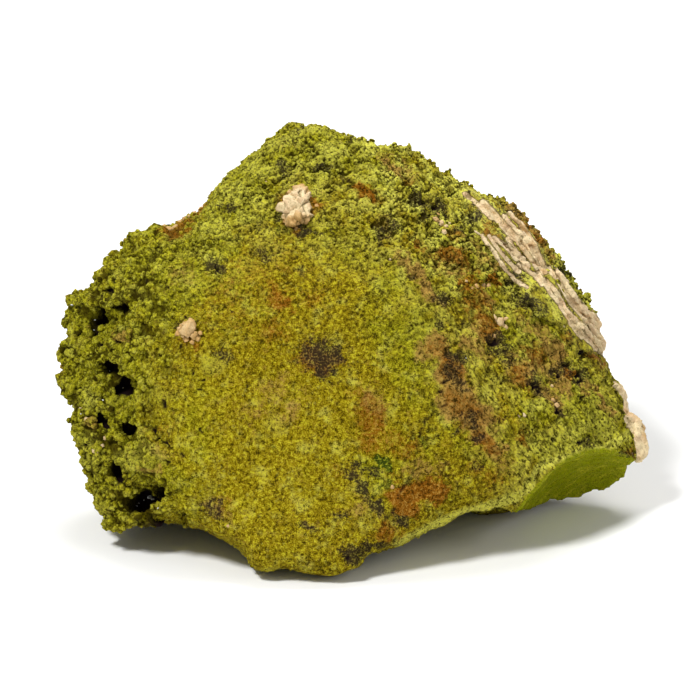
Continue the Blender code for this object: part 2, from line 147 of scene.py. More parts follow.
# Stains: pixel, half length and half width in mm, turn in degrees, strength.
RUST = [
    (278, 296, 1.9, 1.4, -40, 0.6), (284, 302, 1.5, 1.0, -50, 0.75), (314, 298, 1.4, 1.1, 0, 0.4),
    (273, 333, 1.9, 1.4, 60, 0.5), (318, 358, 2.6, 2.0, 0, 0.7), (250, 290, 7.0, 5.0, 45, 0.26),
    (366, 402, 2.0, 1.6, -60, 0.45), (372, 420, 2.4, 1.8, -70, 0.62),
    (370, 440, 2.0, 1.5, 70, 0.55), (396, 440, 2.6, 1.6, -20, 0.4), (408, 451, 1.8, 1.1, 10, 0.5),
    (404, 503, 2.0, 1.4, -50, 1.3), (416, 496, 2.4, 1.3, 25, 1.2), (432, 490, 2.2, 1.3, 15, 1.0),
    (387, 532, 1.3, 1.3, 70, 0.7), (393, 478, 1.2, 0.9, 0, 0.35), (367, 190, 1.5, 0.9, -35, 0.85),
    (386, 226, 1.7, 1.3, -50, 0.45), (421, 242, 1.0, 0.5, 0, 0.75), (436, 252, 2.2, 0.9, -20, 0.4),
    (455, 255, 1.6, 1.1, -25, 0.65), (456, 231, 1.2, 0.8, -50, 0.6),
    (466, 285, 1.4, 1.0, -20, 0.65), (477, 290, 1.4, 1.0, -40, 0.6), (494, 280, 0.9, 0.6, -40, 1.0),
    (477, 302, 1.9, 0.9, -60, 0.6), (486, 316, 1.8, 0.8, -40, 0.7), (490, 334, 1.3, 1.0, -40, 0.7),
    (491, 231, 1.3, 0.7, -40, 0.6), (284, 197, 1.2, 0.9, 0, 0.7), (315, 203, 1.3, 0.8, -10, 0.7),
    (292, 226, 1.4, 0.8, -20, 0.6), (181, 223, 1.2, 0.6, 25, 0.8), (171, 230, 1.5, 0.8, -10, 0.8),
    (198, 208, 1.1, 0.7, 25, 0.8), (190, 340, 1.6, 0.7, 0, 0.6), (410, 178, 0.9, 0.5, -20, 0.55),
    (446, 370, 1.6, 0.8, -60, 0.55), (455, 400, 1.8, 0.9, -50, 0.5),
    (462, 430, 1.8, 1.0, -50, 0.35), (526, 436, 1.6, 0.5, -75, 0.6), (518, 371, 1.2, 0.8, 0, 0.55),
    (569, 373, 0.8, 0.5, 0, 0.9), (530, 353, 1.4, 0.7, -50, 0.5), (542, 352, 1.3, 0.6, -50, 0.6),
    (598, 360, 1.3, 0.5, -55, 0.8), (632, 455, 1.5, 0.6, 15, 0.75), (566, 339, 0.8, 0.5, 0, 0.5),
    (498, 417, 1.0, 0.6, -40, 0.4), (145, 432, 0.8, 0.5, 0, 0.4), (158, 428, 0.6, 0.5, 0, 0.5),
    (305, 358, 1.0, 0.7, 60, 0.7), (340, 472, 1.0, 0.6, 0, 0.35), (228, 505, 1.6, 1.0, 10, 0.3),
    (475, 470, 1.4, 1.0, 60, 0.35), (492, 478, 1.6, 1.0, 70, 0.4), (398, 537, 0.9, 0.6, 0, 0.4),
    (505, 477, 1.0, 0.6, 60, 0.4), (535, 240, 1.2, 0.8, -45, 0.8), (526, 222, 1.0, 0.6, -45, 0.6),
    (470, 262, 2.2, 1.0, -30, 0.5), (452, 366, 2.4, 1.3, -60, 0.6), (472, 412, 2.4, 1.3, -50, 0.55),
    (486, 440, 2.2, 1.2, -50, 0.6), (480, 300, 2.4, 1.4, -50, 0.6), (529, 384, 2.0, 1.0, -40, 0.5),
    (440, 350, 1.6, 1.2, -40, 0.4),
]
TAN = [
    (405, 262, 2.0, 0.9, -40, 0.6), (418, 275, 2.0, 0.9, -50, 0.7), (428, 288, 2.2, 0.9, -50, 0.7),
    (440, 298, 1.6, 0.8, -40, 0.5), (393, 163, 2.2, 1.1, -25, 0.6), (412, 172, 1.4, 0.8, -30, 0.4),
    (436, 342, 1.7, 1.2, -50, 0.7), (444, 356, 1.7, 1.2, -60, 0.8), (452, 378, 3.2, 1.8, -60, 1.0),
    (460, 400, 3.2, 2.2, -55, 1.0), (474, 416, 3.0, 2.0, -50, 1.0), (482, 433, 2.4, 1.3, -45, 0.8),
    (494, 446, 2.2, 1.1, -45, 0.6), (502, 458, 1.6, 1.0, -60, 0.5), (424, 352, 1.4, 1.0, -40, 0.5),
    (372, 400, 2.0, 1.6, -60, 0.5), (275, 388, 2.4, 1.6, 50, 0.3), (292, 412, 2.4, 1.2, 50, 0.35),
    (470, 345, 1.6, 1.0, -50, 0.6), (482, 352, 1.6, 1.0, -40, 0.5), (556, 352, 2.4, 0.9, -50, 0.7),
    (548, 345, 1.7, 0.8, -50, 0.6), (560, 372, 2.2, 1.1, -50, 0.6), (553, 398, 2.0, 1.1, -50, 0.6),
    (564, 386, 1.7, 0.8, -45, 0.6), (600, 400, 2.6, 0.4, -55, 0.7), (585, 385, 1.6, 0.4, -55, 0.5),
    (212, 505, 1.6, 1.0, -20, 0.45), (224, 517, 1.4, 0.8, -20, 0.45), (250, 410, 2.2, 1.6, 0, 0.25),
    (118, 335, 1.4, 0.6, 30, 0.5), (88, 425, 1.2, 1.0, 0, 0.45), (148, 470, 1.6, 0.5, 10, 0.5),
    (155, 450, 1.4, 1.0, 0, 0.35), (180, 272, 2.0, 1.2, 30, 0.25), (230, 285, 2.0, 1.4, 0, 0.2),
    (310, 522, 1.2, 0.8, 0, 0.3), (360, 505, 2.0, 1.0, 10, 0.35), (372, 512, 2.2, 0.9, -10, 0.3),
    (490, 300, 1.0, 0.5, -30, 0.6), (478, 245, 2.2, 0.7, -45, 0.45), (492, 259, 2.2, 0.7, -45, 0.5),
    (527, 322, 2.0, 1.0, -50, 0.4), (540, 331, 2.2, 0.9, -50, 0.5), (515, 355, 1.2, 0.7, 0, 0.4),
    (440, 470, 1.5, 1.0, 0, 0.25), (420, 470, 2.0, 1.5, 0, 0.35), (520, 212, 2.5, 1.0, -45, 0.8),
    (533, 232, 2.6, 1.0, -50, 0.8), (543, 250, 2.0, 0.8, -55, 0.6), (484, 330, 2.0, 1.5, -50, 0.6),
    (525, 372, 2.6, 1.6, -40, 0.6), (540, 362, 2.6, 1.4, -50, 0.6), (455, 260, 2.6, 1.6, -30, 0.5),
]
SOOT = [
    (225, 208, 0.8, 0.6, 30, 0.9), (216, 264, 1.2, 0.7, -60, 1.0), (262, 225, 0.8, 0.5, -30, 0.6),
    (264, 256, 0.8, 0.6, 60, 0.7), (281, 218, 0.7, 0.5, 0, 0.7), (306, 230, 1.7, 0.5, -20, 1.0),
    (302, 273, 1.0, 0.7, -60, 0.5), (283, 166, 1.1, 0.6, -60, 0.8), (321, 165, 1.1, 0.5, 10, 0.9),
    (282, 138, 0.5, 0.4, 0, 0.6), (298, 126, 0.5, 0.3, 0, 0.6), (353, 139, 0.6, 0.3, -10, 0.8),
    (416, 202, 0.7, 0.8, 0, 0.8), (421, 199, 1.3, 0.8, -40, 1.0), (440, 206, 0.9, 0.8, -30, 1.0),
    (424, 215, 0.9, 0.6, -60, 0.9), (392, 224, 1.1, 1.0, -50, 0.8), (381, 231, 0.9, 0.8, -50, 0.8),
    (345, 178, 1.0, 0.6, -30, 0.5), (471, 216, 0.9, 0.7, 0, 0.8), (460, 227, 0.6, 0.4, 0, 0.8),
    (443, 298, 1.2, 0.8, -40, 0.9), (440, 324, 0.9, 0.6, 0, 0.8), (411, 274, 0.5, 0.3, 0, 0.8),
    (457, 358, 1.2, 0.8, 0, 1.0), (460, 381, 1.0, 0.5, 0, 0.8), (466, 391, 0.9, 0.4, -20, 0.8),
    (455, 434, 0.6, 0.4, 30, 0.8), (481, 438, 0.8, 0.6, 0, 0.8), (498, 340, 1.3, 0.8, -20, 0.8),
    (504, 353, 1.4, 0.6, -20, 0.8), (510, 362, 0.8, 0.6, -50, 0.6), (534, 383, 1.2, 0.8, -30, 0.8),
    (500, 418, 0.8, 0.5, 0, 0.5), (507, 350, 1.0, 0.5, 0, 0.8), (557, 374, 0.9, 0.5, -30, 0.8),
    (568, 366, 1.0, 0.9, 0, 0.8), (581, 375, 0.8, 0.8, 0, 0.8), (559, 409, 0.9, 0.5, -30, 0.9),
    (539, 389, 1.0, 0.7, -50, 0.8), (585, 445, 0.8, 0.5, 0, 0.6), (513, 277, 1.1, 0.8, -30, 0.9),
    (527, 303, 1.6, 0.8, -35, 0.85), (523, 262, 0.7, 0.5, -30, 0.9), (563, 270, 1.2, 0.7, -45, 0.7),
    (473, 194, 0.6, 0.3, -20, 0.9), (514, 213, 0.8, 0.3, -45, 0.8), (565, 314, 0.7, 0.5, -50, 0.6),
    (352, 474, 1.4, 0.6, -20, 0.8), (371, 472, 1.3, 0.5, 0, 0.6), (361, 488, 0.9, 0.8, -50, 0.9),
    (377, 508, 1.0, 0.8, -50, 1.0), (366, 498, 0.8, 0.8, -50, 0.7), (342, 513, 1.0, 0.5, 0, 0.8),
    (402, 522, 0.9, 0.8, 40, 0.9), (310, 525, 1.2, 0.6, 0, 0.95), (352, 555, 1.1, 1.5, 30, 0.9),
    (374, 546, 1.9, 0.7, 5, 0.9), (362, 552, 0.8, 0.5, 0, 0.9), (223, 356, 1.3, 0.8, -50, 0.6),
    (320, 355, 2.3, 2.0, 0, 0.95), (318, 369, 1.2, 0.9, -70, 1.0), (336, 352, 0.9, 0.8, 60, 0.85),
    (308, 353, 0.7, 0.7, 0, 0.9), (334, 374, 0.9, 0.5, -60, 0.8), (353, 470, 1.2, 1.0, -30, 0.5),
    (212, 508, 1.5, 0.8, -15, 0.8), (222, 520, 0.9, 0.5, -10, 0.6), (176, 322, 0.9, 0.6, 0, 0.5),
    (548, 232, 0.6, 0.4, 0, 0.4), (590, 322, 0.6, 0.4, -50, 0.5), (625, 456, 0.9, 0.4, 0, 0.7),
    (190, 318, 0.7, 0.4, 30, 0.6), (236, 312, 0.6, 0.4, 0, 0.4), (332, 232, 0.5, 0.3, 0, 0.6),
    (391, 513, 0.8, 0.6, 0, 0.5), (478, 465, 0.7, 0.5, 0, 0.5), (452, 372, 1.3, 0.9, -60, 0.8),
    (474, 420, 1.5, 0.9, -50, 0.75), (500, 375, 1.0, 0.5, 0, 0.3),
]
MOSS = [
    (384, 459, 1.3, 0.7, -60, 1.0), (390, 468, 0.8, 0.6, -50, 1.0), (372, 468, 1.8, 0.9, 0, 0.5),
    (382, 482, 1.4, 1.0, 60, 0.55), (378, 492, 1.8, 1.2, 0, 0.4), (424, 444, 1.2, 0.9, 50, 0.5),
    (410, 436, 1.3, 0.8, 0, 0.35), (190, 297, 1.4, 1.0, 20, 0.4), (262, 437, 1.0, 0.6, 50, 0.35),
    (273, 446, 1.0, 0.6, -40, 0.45), (300, 268, 1.4, 1.0, -60, 0.3), (285, 228, 1.4, 0.9, -30, 0.5),
    (540, 385, 1.0, 0.7, 0, 0.5), (563, 270, 1.6, 0.8, -50, 0.8), (575, 290, 2.0, 0.9, -50, 0.4),
    (512, 286, 1.2, 0.9, 0, 0.5), (490, 312, 1.4, 1.0, -40, 0.4), (533, 437, 1.6, 1.0, -50, 0.4),
    (230, 208, 1.0, 0.7, 0, 0.35), (100, 505, 1.0, 1.2, 0, 0.2),
]
PALE = [
    (318, 130, 1.6, 0.5, 5, 0.6), (322, 158, 2.4, 0.7, -35, 0.6), (340, 166, 2.4, 0.7, -35, 0.6),
    (440, 195, 2.2, 1.1, -30, 0.5), (398, 192, 2.0, 1.2, -30, 0.3), (246, 182, 1.8, 0.9, 45, 0.35),
    (326, 414, 1.2, 0.6, 30, 0.5), (445, 418, 1.0, 1.2, 60, 0.6), (450, 410, 1.0, 0.7, 40, 0.5),
    (374, 204, 1.8, 1.0, 30, 0.35), (377, 282, 1.6, 1.2, -30, 0.3), (130, 458, 2.2, 1.6, 30, 0.45),
    (150, 452, 2.4, 1.2, -30, 0.5), (142, 470, 1.8, 1.0, 0, 0.4), (92, 400, 1.0, 1.6, -60, 0.6),
    (84, 440, 1.6, 1.6, -60, 0.4), (88, 462, 2.2, 1.0, -70, 0.4), (118, 455, 1.8, 0.7, 20, 0.5),
    (120, 265, 1.4, 0.7, 30, 0.3), (135, 293, 2.0, 0.7, -35, 0.4), (104, 306, 1.2, 0.6, 30, 0.5),
    (100, 512, 1.2, 2.0, 0, 0.35), (380, 487, 1.2, 0.9, 0, 0.4), (355, 488, 1.2, 0.9, 0, 0.25),
    (505, 262, 3.0, 1.4, -50, 0.9), (496, 268, 2.6, 1.6, -30, 0.8), (543, 290, 1.8, 0.8, -50, 0.5),
    (590, 420, 2.6, 0.5, -55, 0.5), (602, 440, 2.4, 0.8, 20, 0.6), (596, 405, 2.6, 0.7, -55, 0.45),
    (570, 446, 2.4, 0.8, 10, 0.6), (585, 395, 2.0, 0.6, -55, 0.4), (608, 415, 2.6, 0.6, -55, 0.4),
    (552, 452, 1.8, 0.7, 20, 0.5), (530, 372, 2.0, 1.0, -50, 0.3), (520, 350, 1.6, 1.2, 0, 0.3),
    (215, 365, 1.8, 1.2, 0, 0.3), (160, 395, 2.0, 1.2, 0, 0.2), (275, 425, 1.6, 1.2, 0, 0.3),
]

# Each stain's name, its ovals, how soft their edge is and how much wider they are than listed. On
# the sides turned away, noise of a size in mm takes their place where it is above the least.
STAINS = [
    ("rust", RUST, 0.6, 1.25, 6.0, 0.28), ("tan", TAN, 0.6, 1.2, 7.0, 0.3),
    ("soot", SOOT, 0.7, 1.3, 3.0, 0.42), ("moss", MOSS, 0.6, 1.1, 8.0, 0.5),
]

# Where the clay is greener than in the middle of the face: pixel, half sizes, turn, strength.
GREENS = [
    (95, 380, 9.0, 22.0, 0, 1.0), (165, 265, 12.0, 8.0, 40, 0.95), (140, 470, 7.0, 9.0, 0, 0.7),
    (310, 145, 9.0, 4.5, 0, 0.9), (245, 185, 10.0, 4.5, 45, 0.9), (370, 160, 9.0, 4.0, -25, 0.7),
    (410, 215, 5.0, 3.5, -30, 0.5), (350, 245, 7.0, 4.0, -30, 0.5), (405, 330, 5.0, 12.0, 12, 0.7),
    (470, 260, 4.0, 6.0, 30, 0.8), (530, 330, 5.0, 4.0, -45, 0.9), (580, 410, 10.0, 5.0, -55, 0.9),
    (585, 440, 8.0, 3.0, 10, 0.9), (540, 410, 4.0, 4.0, 0, 0.7), (575, 290, 7.0, 2.5, -50, 1.0),
    (510, 440, 4.0, 4.0, 0, 0.4), (230, 300, 5.0, 6.0, 20, 0.4), (380, 470, 4.0, 5.0, -50, 0.5),
    (450, 420, 4.0, 5.0, 60, 0.6), (490, 300, 3.0, 3.0, 0, 0.6), (190, 420, 6.0, 8.0, 0, 0.4),
]

# Painted highlight along the thin edge of the lip and of the lower border: pixel runs with a half
# width in mm.
HIGHLIGHT_EDGES = [
    ([(398, 544), (410, 538), (424, 531), (440, 523), (455, 518), (468, 512), (480, 508),
      (492, 506), (505, 503)], 0.7),
    ([(505, 502), (515, 498), (523, 493), (531, 482), (540, 470), (549, 462), (560, 459),
      (570, 458), (580, 453), (592, 450), (607, 447), (620, 441), (630, 434)], 0.75),
]

# The crust's ribs: half width and height in mm, then the pixels along the crest.
RIBS = [
    (0.26, 0.5, [(465, 194), (474, 201), (483, 209), (492, 218)]),
    (0.46, 0.85, [(483, 203), (494, 215), (503, 225), (512, 235), (524, 243), (533, 250),
                  (539, 259), (544, 271)]),
    (0.34, 0.7, [(508, 210), (513, 216), (520, 223), (527, 234), (533, 243), (537, 252)]),
    (0.26, 0.5, [(504, 216), (511, 224), (518, 231), (526, 238), (533, 246)]),
    (0.3, 0.6, [(508, 239), (513, 248), (520, 257), (528, 266)]),
    (0.26, 0.55, [(518, 243), (525, 251), (531, 259), (537, 268)]),
    (0.28, 0.5, [(494, 238), (503, 244), (510, 251), (516, 259)]),
    (0.24, 0.45, [(473, 229), (481, 235), (488, 244), (497, 257), (506, 271), (515, 280),
                  (527, 287)]),
    (0.22, 0.4, [(489, 236), (496, 246), (503, 255), (511, 264), (519, 272)]),
    (0.3, 0.6, [(519, 265), (528, 270), (536, 276), (542, 284)]),
    (0.4, 0.8, [(559, 271), (567, 284), (572, 294), (579, 305), (588, 312), (595, 320),
                (601, 331)]),
    (0.3, 0.6, [(549, 269), (558, 280), (564, 291), (570, 301), (579, 312), (587, 322)]),
    (0.28, 0.6, [(545, 280), (554, 289), (560, 298), (565, 309), (574, 319), (585, 328), (592, 337),
                 (601, 347)]),
    (0.24, 0.5, [(538, 273), (544, 282), (551, 294), (561, 305)]),
    (0.66, 0.95, [(588, 314), (596, 326), (602, 339), (604, 350)]),
    (0.28, 0.5, [(569, 316), (576, 326), (586, 338), (596, 349)]),
    (0.26, 0.5, [(577, 308), (585, 318), (592, 328), (599, 340)]),
    (0.2, 0.4, [(560, 306), (567, 317), (573, 328), (582, 338)]),
    (0.3, 0.5, [(614, 384), (619, 389), (624, 394), (627, 400)]),
    (0.75, 0.8, [(632, 420), (635, 428), (639, 436), (643, 443), (645, 451)]),
    (0.4, 0.6, [(636, 437), (639, 445), (641, 453), (641, 458)]),
]

# Where the rim's thick crust starts, in mm to the right, and how much more of it stands out.
RIM_START = 38.3
RIM_THICKNESS = 1.6

# The first and the last pixel of the longest run of ribs.
CRUST_ENDS = [(480, 204), (596, 332)]

# Small cream lumps: pixel, radius in mm, how much browner than cream (0 to 1).
CRUMBS = [
    (500, 322, 0.75, 0.15), (495, 318, 0.5, 0.25), (505, 327, 0.45, 0.3), (506, 319, 0.35, 0.2),
    (483, 285, 0.5, 0.45), (477, 286, 0.4, 0.5), (489, 286, 0.4, 0.4), (472, 288, 0.35, 0.6),
    (436, 219, 0.5, 0.3), (441, 223, 0.45, 0.1), (446, 226, 0.35, 0.0), (444, 232, 0.4, 0.0),
    (438, 214, 0.35, 0.5), (449, 223, 0.25, 0.0), (494, 336, 0.3, 0.6), (466, 281, 0.3, 0.3),
    (169, 229, 0.62, 0.55), (175, 227, 0.5, 0.5), (164, 226, 0.4, 0.6), (180, 222, 0.45, 0.45),
    (184, 219, 0.35, 0.6), (189, 216, 0.3, 0.4), (194, 210, 0.4, 0.5), (198, 206, 0.42, 0.5),
    (202, 203, 0.3, 0.6), (286, 194, 0.42, 0.5), (282, 200, 0.4, 0.55), (290, 192, 0.4, 0.45),
    (280, 206, 0.3, 0.7), (289, 225, 0.45, 0.5), (296, 229, 0.4, 0.45), (317, 206, 0.35, 0.6),
    (285, 221, 0.35, 0.6), (94, 450, 0.45, 0.1), (102, 445, 0.42, 0.1), (105, 438, 0.32, 0.15),
    (98, 451, 0.3, 0.1), (392, 487, 0.3, 0.5), (80, 409, 0.3, 0.0), (86, 419, 0.3, 0.05),
    (540, 303, 0.25, 0.1), (552, 386, 0.25, 0.2), (524, 415, 0.35, 0.0), (519, 416, 0.25, 0.2),
    (228, 526, 0.22, 0.2), (266, 182, 0.22, 0.0), (390, 259, 0.25, 0.1), (557, 405, 0.4, 0.35),
    (178, 333, 0.5, 0.6), (182, 326, 0.45, 0.5), (197, 338, 0.5, 0.6), (200, 333, 0.35, 0.7),
    (186, 339, 0.45, 0.6), (192, 342, 0.35, 0.7), (553, 400, 0.35, 0.4), (596, 316, 0.35, 0.4),
    (592, 311, 0.35, 0.3), (598, 321, 0.3, 0.5),
]

# Clear grains in the voids: pixel and size in mm.
CRYSTALS = [
    (150, 497, 0.55), (153, 499, 0.36), (139, 503, 0.2), (137, 506, 0.22), (72, 305, 0.24),
    (75, 308, 0.16), (123, 388, 0.2), (103, 400, 0.18), (95, 320, 0.16), (94, 330, 0.14),
    (144, 500, 0.14), (158, 508, 0.16), (110, 371, 0.14), (81, 414, 0.14), (466, 358, 0.12),
]

# The part of the face with the finest, most even grain: pixel, half sizes, turn, strength.
EVEN_GRAINED = [(265, 450, 19.0, 15.0, 10, 1.0), (180, 400, 8.0, 9.0, 0, 0.7)]

# The crowded grains: the piece, where on the lump they grow and how strong that mask is at least,
# their gap and radii in mm, how far they are sunk, how much painted highlight their crowns get at
# most, and their dice's seed.
CROWDED_GRAINS = [
    ("flank_nodules", "flank", 0.7, 0.95, (0.45, 0.85), 0.5, 0.6, 3),
    ("flank_crumbs", "flank", 0.1, 0.62, (0.2, 0.46), 0.42, 0.6, 5),
    ("top_crumbs", "crumbly", 0.4, 0.59, (0.16, 0.42), 0.55, 1.0, 7),
    ("shoulder_crumbs", "ridged", 0.55, 0.66, (0.14, 0.36), 0.55, 0.8, 11),
]

# What is painted on the clay for its finish.
CLAY_PAINTS = ("seam_shade", "shade", "green", "rough", "ridged", "fracture", "void", "pale", "tan",
               "rust", "soot", "moss")


def ease(x):
    """Goes smoothly from 0 to 1."""
    x = np.clip(x, 0.0, 1.0)
    return x * x * (3.0 - 2.0 * x)


def roughness_at(points, size, seed, octaves=2):
    """Fractal noise at points in mm, about -1 to 1, with waves of that size."""
    moved = (points / size + seed).tolist()
    return np.array([noise.fractal(p, 1.0, 2.0, octaves) for p in moved])


def nodules_at(points, size, seed):
    """Grape-like nodules: 1 on each crown, 0 in the seams."""
    moved = (points / size + seed).tolist()
    nearest = np.array([noise.voronoi(p)[0][0] for p in moved])
    return np.sqrt(np.clip(1.0 - (nearest / 0.8) ** 2, 0.0, 1.0))


def drawn_out(points, along, times):
    """Points squeezed along one direction, so that noise read at them runs that way."""
    along = along / np.linalg.norm(along)
    return points - (1.0 - 1.0 / times) * np.outer(points @ along, along)


def wobbled(points, size, reach, seed):
    """Points shifted about by noise, so that cells read at them lose their regular spacing."""
    shift = np.stack([roughness_at(points, size, seed + axis * 17.0) for axis in range(3)], axis=1)
    return points + reach * shift


def places_of(mesh):
    """The vertices' places in millimetres."""
    flat = np.empty(3 * len(mesh.vertices), np.float32)
    mesh.vertices.foreach_get("co", flat)
    return flat.reshape(-1, 3).astype(float) / MM


def normals_of(mesh):
    """The vertices' outward directions."""
    flat = np.empty(3 * len(mesh.vertices), np.float32)
    mesh.vertices.foreach_get("normal", flat)
    return flat.reshape(-1, 3).astype(float)


def put_back(mesh, places):
    """Moves the vertices to places in millimetres, none of them outside the solids' box."""
    low, high = (np.array(corner) / MM for corner in CAD_BOX)
    kept = np.clip(places, low, high)
    mesh.vertices.foreach_set("co", (kept * MM).astype(np.float32).ravel())
    mesh.update()


def paint(mesh, name, values):
    """Keeps a value at each vertex for the materials."""
    layer = mesh.attributes.new(name, "FLOAT", "POINT")
    layer.data.foreach_set("value", np.asarray(values, np.float32))


class Eye:
    """The camera's place, and where it sees things in the photograph."""

    def __init__(self, settings):
        self.aim = np.array(settings.aim) / MM
        lean = settings.elevation
        self.up = np.array((0.0, math.sin(lean), math.cos(lean)))
        self.back = np.array((0.0, -math.cos(lean), math.sin(lean)))
        self.place = self.aim + self.back * settings.distance / MM
        self.focal = settings.lens / SENSOR * PHOTO_SIDE

    def pixels(self, points):
        """The pixel at which each point is seen."""
        away = points - self.place
        scale = self.focal / (away @ -self.back)
        across = PHOTO_MIDDLE + scale * away[:, 0]
        down = PHOTO_MIDDLE - scale * (away @ self.up)
        return np.stack([across, down], axis=1)

    def ray(self, pixel):
        """The direction in which a pixel is seen."""
        across = (pixel[0] - PHOTO_MIDDLE) / self.focal
        rise = (PHOTO_MIDDLE - pixel[1]) / self.focal
        return Vector(RIGHT * across + self.up * rise - self.back).normalized()

    def pixel_size(self):
        """What a pixel spans at the specimen, in mm."""
        return np.linalg.norm(self.place - self.aim) / self.focal


def frayed(face, reach, size, seeds):
    """The shift in pixels, by noise, that makes the borders of what lies on the face ragged."""
    return reach * np.stack([roughness_at(face.points, size, seed) for seed in seeds], axis=1)


def oval_fields(pixels, pixel_size, ovals, edge, grown=1.0):
    """For each oval (pixel, half sizes in mm, turn, ...), grown by a factor: which points it reaches
    and how much."""
    for x, y, half_length, half_width, turn, *rest in ovals:
        offset = (pixels - (x, y)) * pixel_size
        turn = math.radians(turn)
        along = offset[:, 0] * math.cos(turn) - offset[:, 1] * math.sin(turn)
        across = offset[:, 0] * math.sin(turn) + offset[:, 1] * math.cos(turn)
        near = np.hypot(along / half_length, across / half_width) / grown
        reached = np.flatnonzero(near < 1.0 + edge)
        yield reached, ease((1.0 + edge - near[reached]) / (2.0 * edge)), rest


def stain(face, stains, edge=0.6, grown=1.0):
    """The strength of a list of stains at each vertex, their borders ragged."""
    strength = np.zeros(len(face.pixels))
    seeds = (7.9, 12.3)
    ragged = face.pixels + (frayed(face, 7.0, 2.6, seeds) + frayed(face, 4.0, 0.9, seeds))
    for reached, share, (most,) in oval_fields(ragged, face.pixel_size, stains, edge, grown):
        strength[reached] = np.maximum(strength[reached], most * share)
    return strength


def line_distance(pixels, run):
    """How far each pixel lies from a run of straight lines, in pixels."""
    nearest = np.full(len(pixels), np.inf)
    for start, end in zip(np.array(run, float), np.array(run[1:], float)):
        step = end - start
        share = np.clip((pixels - start) @ step / (step @ step), 0.0, 1.0)
        gap = np.linalg.norm(pixels - start - share[:, None] * step, axis=1)
        nearest = np.minimum(nearest, gap)
    return nearest


def face_places(points):
    """Points in the face frame: right, up and out in mm."""
    away = points - FACE_ORIGIN
    return np.stack([away @ RIGHT, away @ UP, away @ OUT], axis=1)


def merged_copy(node):
    """A bmesh copy of a solid, its loose triangles joined."""
    bm = bmesh.new()
    bm.from_mesh(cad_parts[node].data)
    bmesh.ops.remove_doubles(bm, verts=bm.verts, dist=1e-6)
    return bm


def mesh_from(bm, name):
    """Ends a bmesh as a new mesh."""
    mesh = bpy.data.meshes.new(name)
    bm.to_mesh(mesh)
    bm.free()
    return mesh


def even_skin(mesh, grain):
    """The mesh's outside as one skin of even squares, as a new mesh."""
    carrier = bpy.data.objects.new("skin", mesh)
    bpy.context.scene.collection.objects.link(carrier)
    remesh = carrier.modifiers.new("even skin", "REMESH")
    remesh.mode = "VOXEL"
    remesh.voxel_size = grain
    remesh.use_smooth_shade = True
    bpy.context.view_layer.update()
    graph = bpy.context.evaluated_depsgraph_get()
    skin = bpy.data.meshes.new_from_object(carrier.evaluated_get(graph))
    bpy.data.objects.remove(carrier)
    bpy.data.meshes.remove(mesh)
    return skin


def add_piece(name, mesh, finish, slot, *stands_for):
    """Adds a finished piece that rides on the specimen's body."""
    mesh.name = name
    mesh.materials.clear()
    mesh.materials.append(finish)
    mesh.shade_smooth()
    piece = bpy.data.objects.new(name, mesh)
    bpy.context.scene.collection.objects.link(piece)
    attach(piece, "root")
    if stands_for:
        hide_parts(*stands_for)
    return piece


class Wire:
    """A shader socket that adds a Math node for each sum or product made with it."""

    def __init__(self, finish, socket):
        self.finish = finish
        self.socket = socket

    def math(self, operation, *values):
        return self.finish.add("ShaderNodeMath", {"operation": operation}, dict(enumerate(values)))

    def __add__(self, other):
        return self.math("ADD", self, other)

    def __sub__(self, other):
        return self.math("SUBTRACT", self, other)

    def __rsub__(self, other):
        return self.math("SUBTRACT", other, self)

    def __mul__(self, other):
        return self.math("MULTIPLY", self, other)

    __radd__ = __add__
    __rmul__ = __mul__


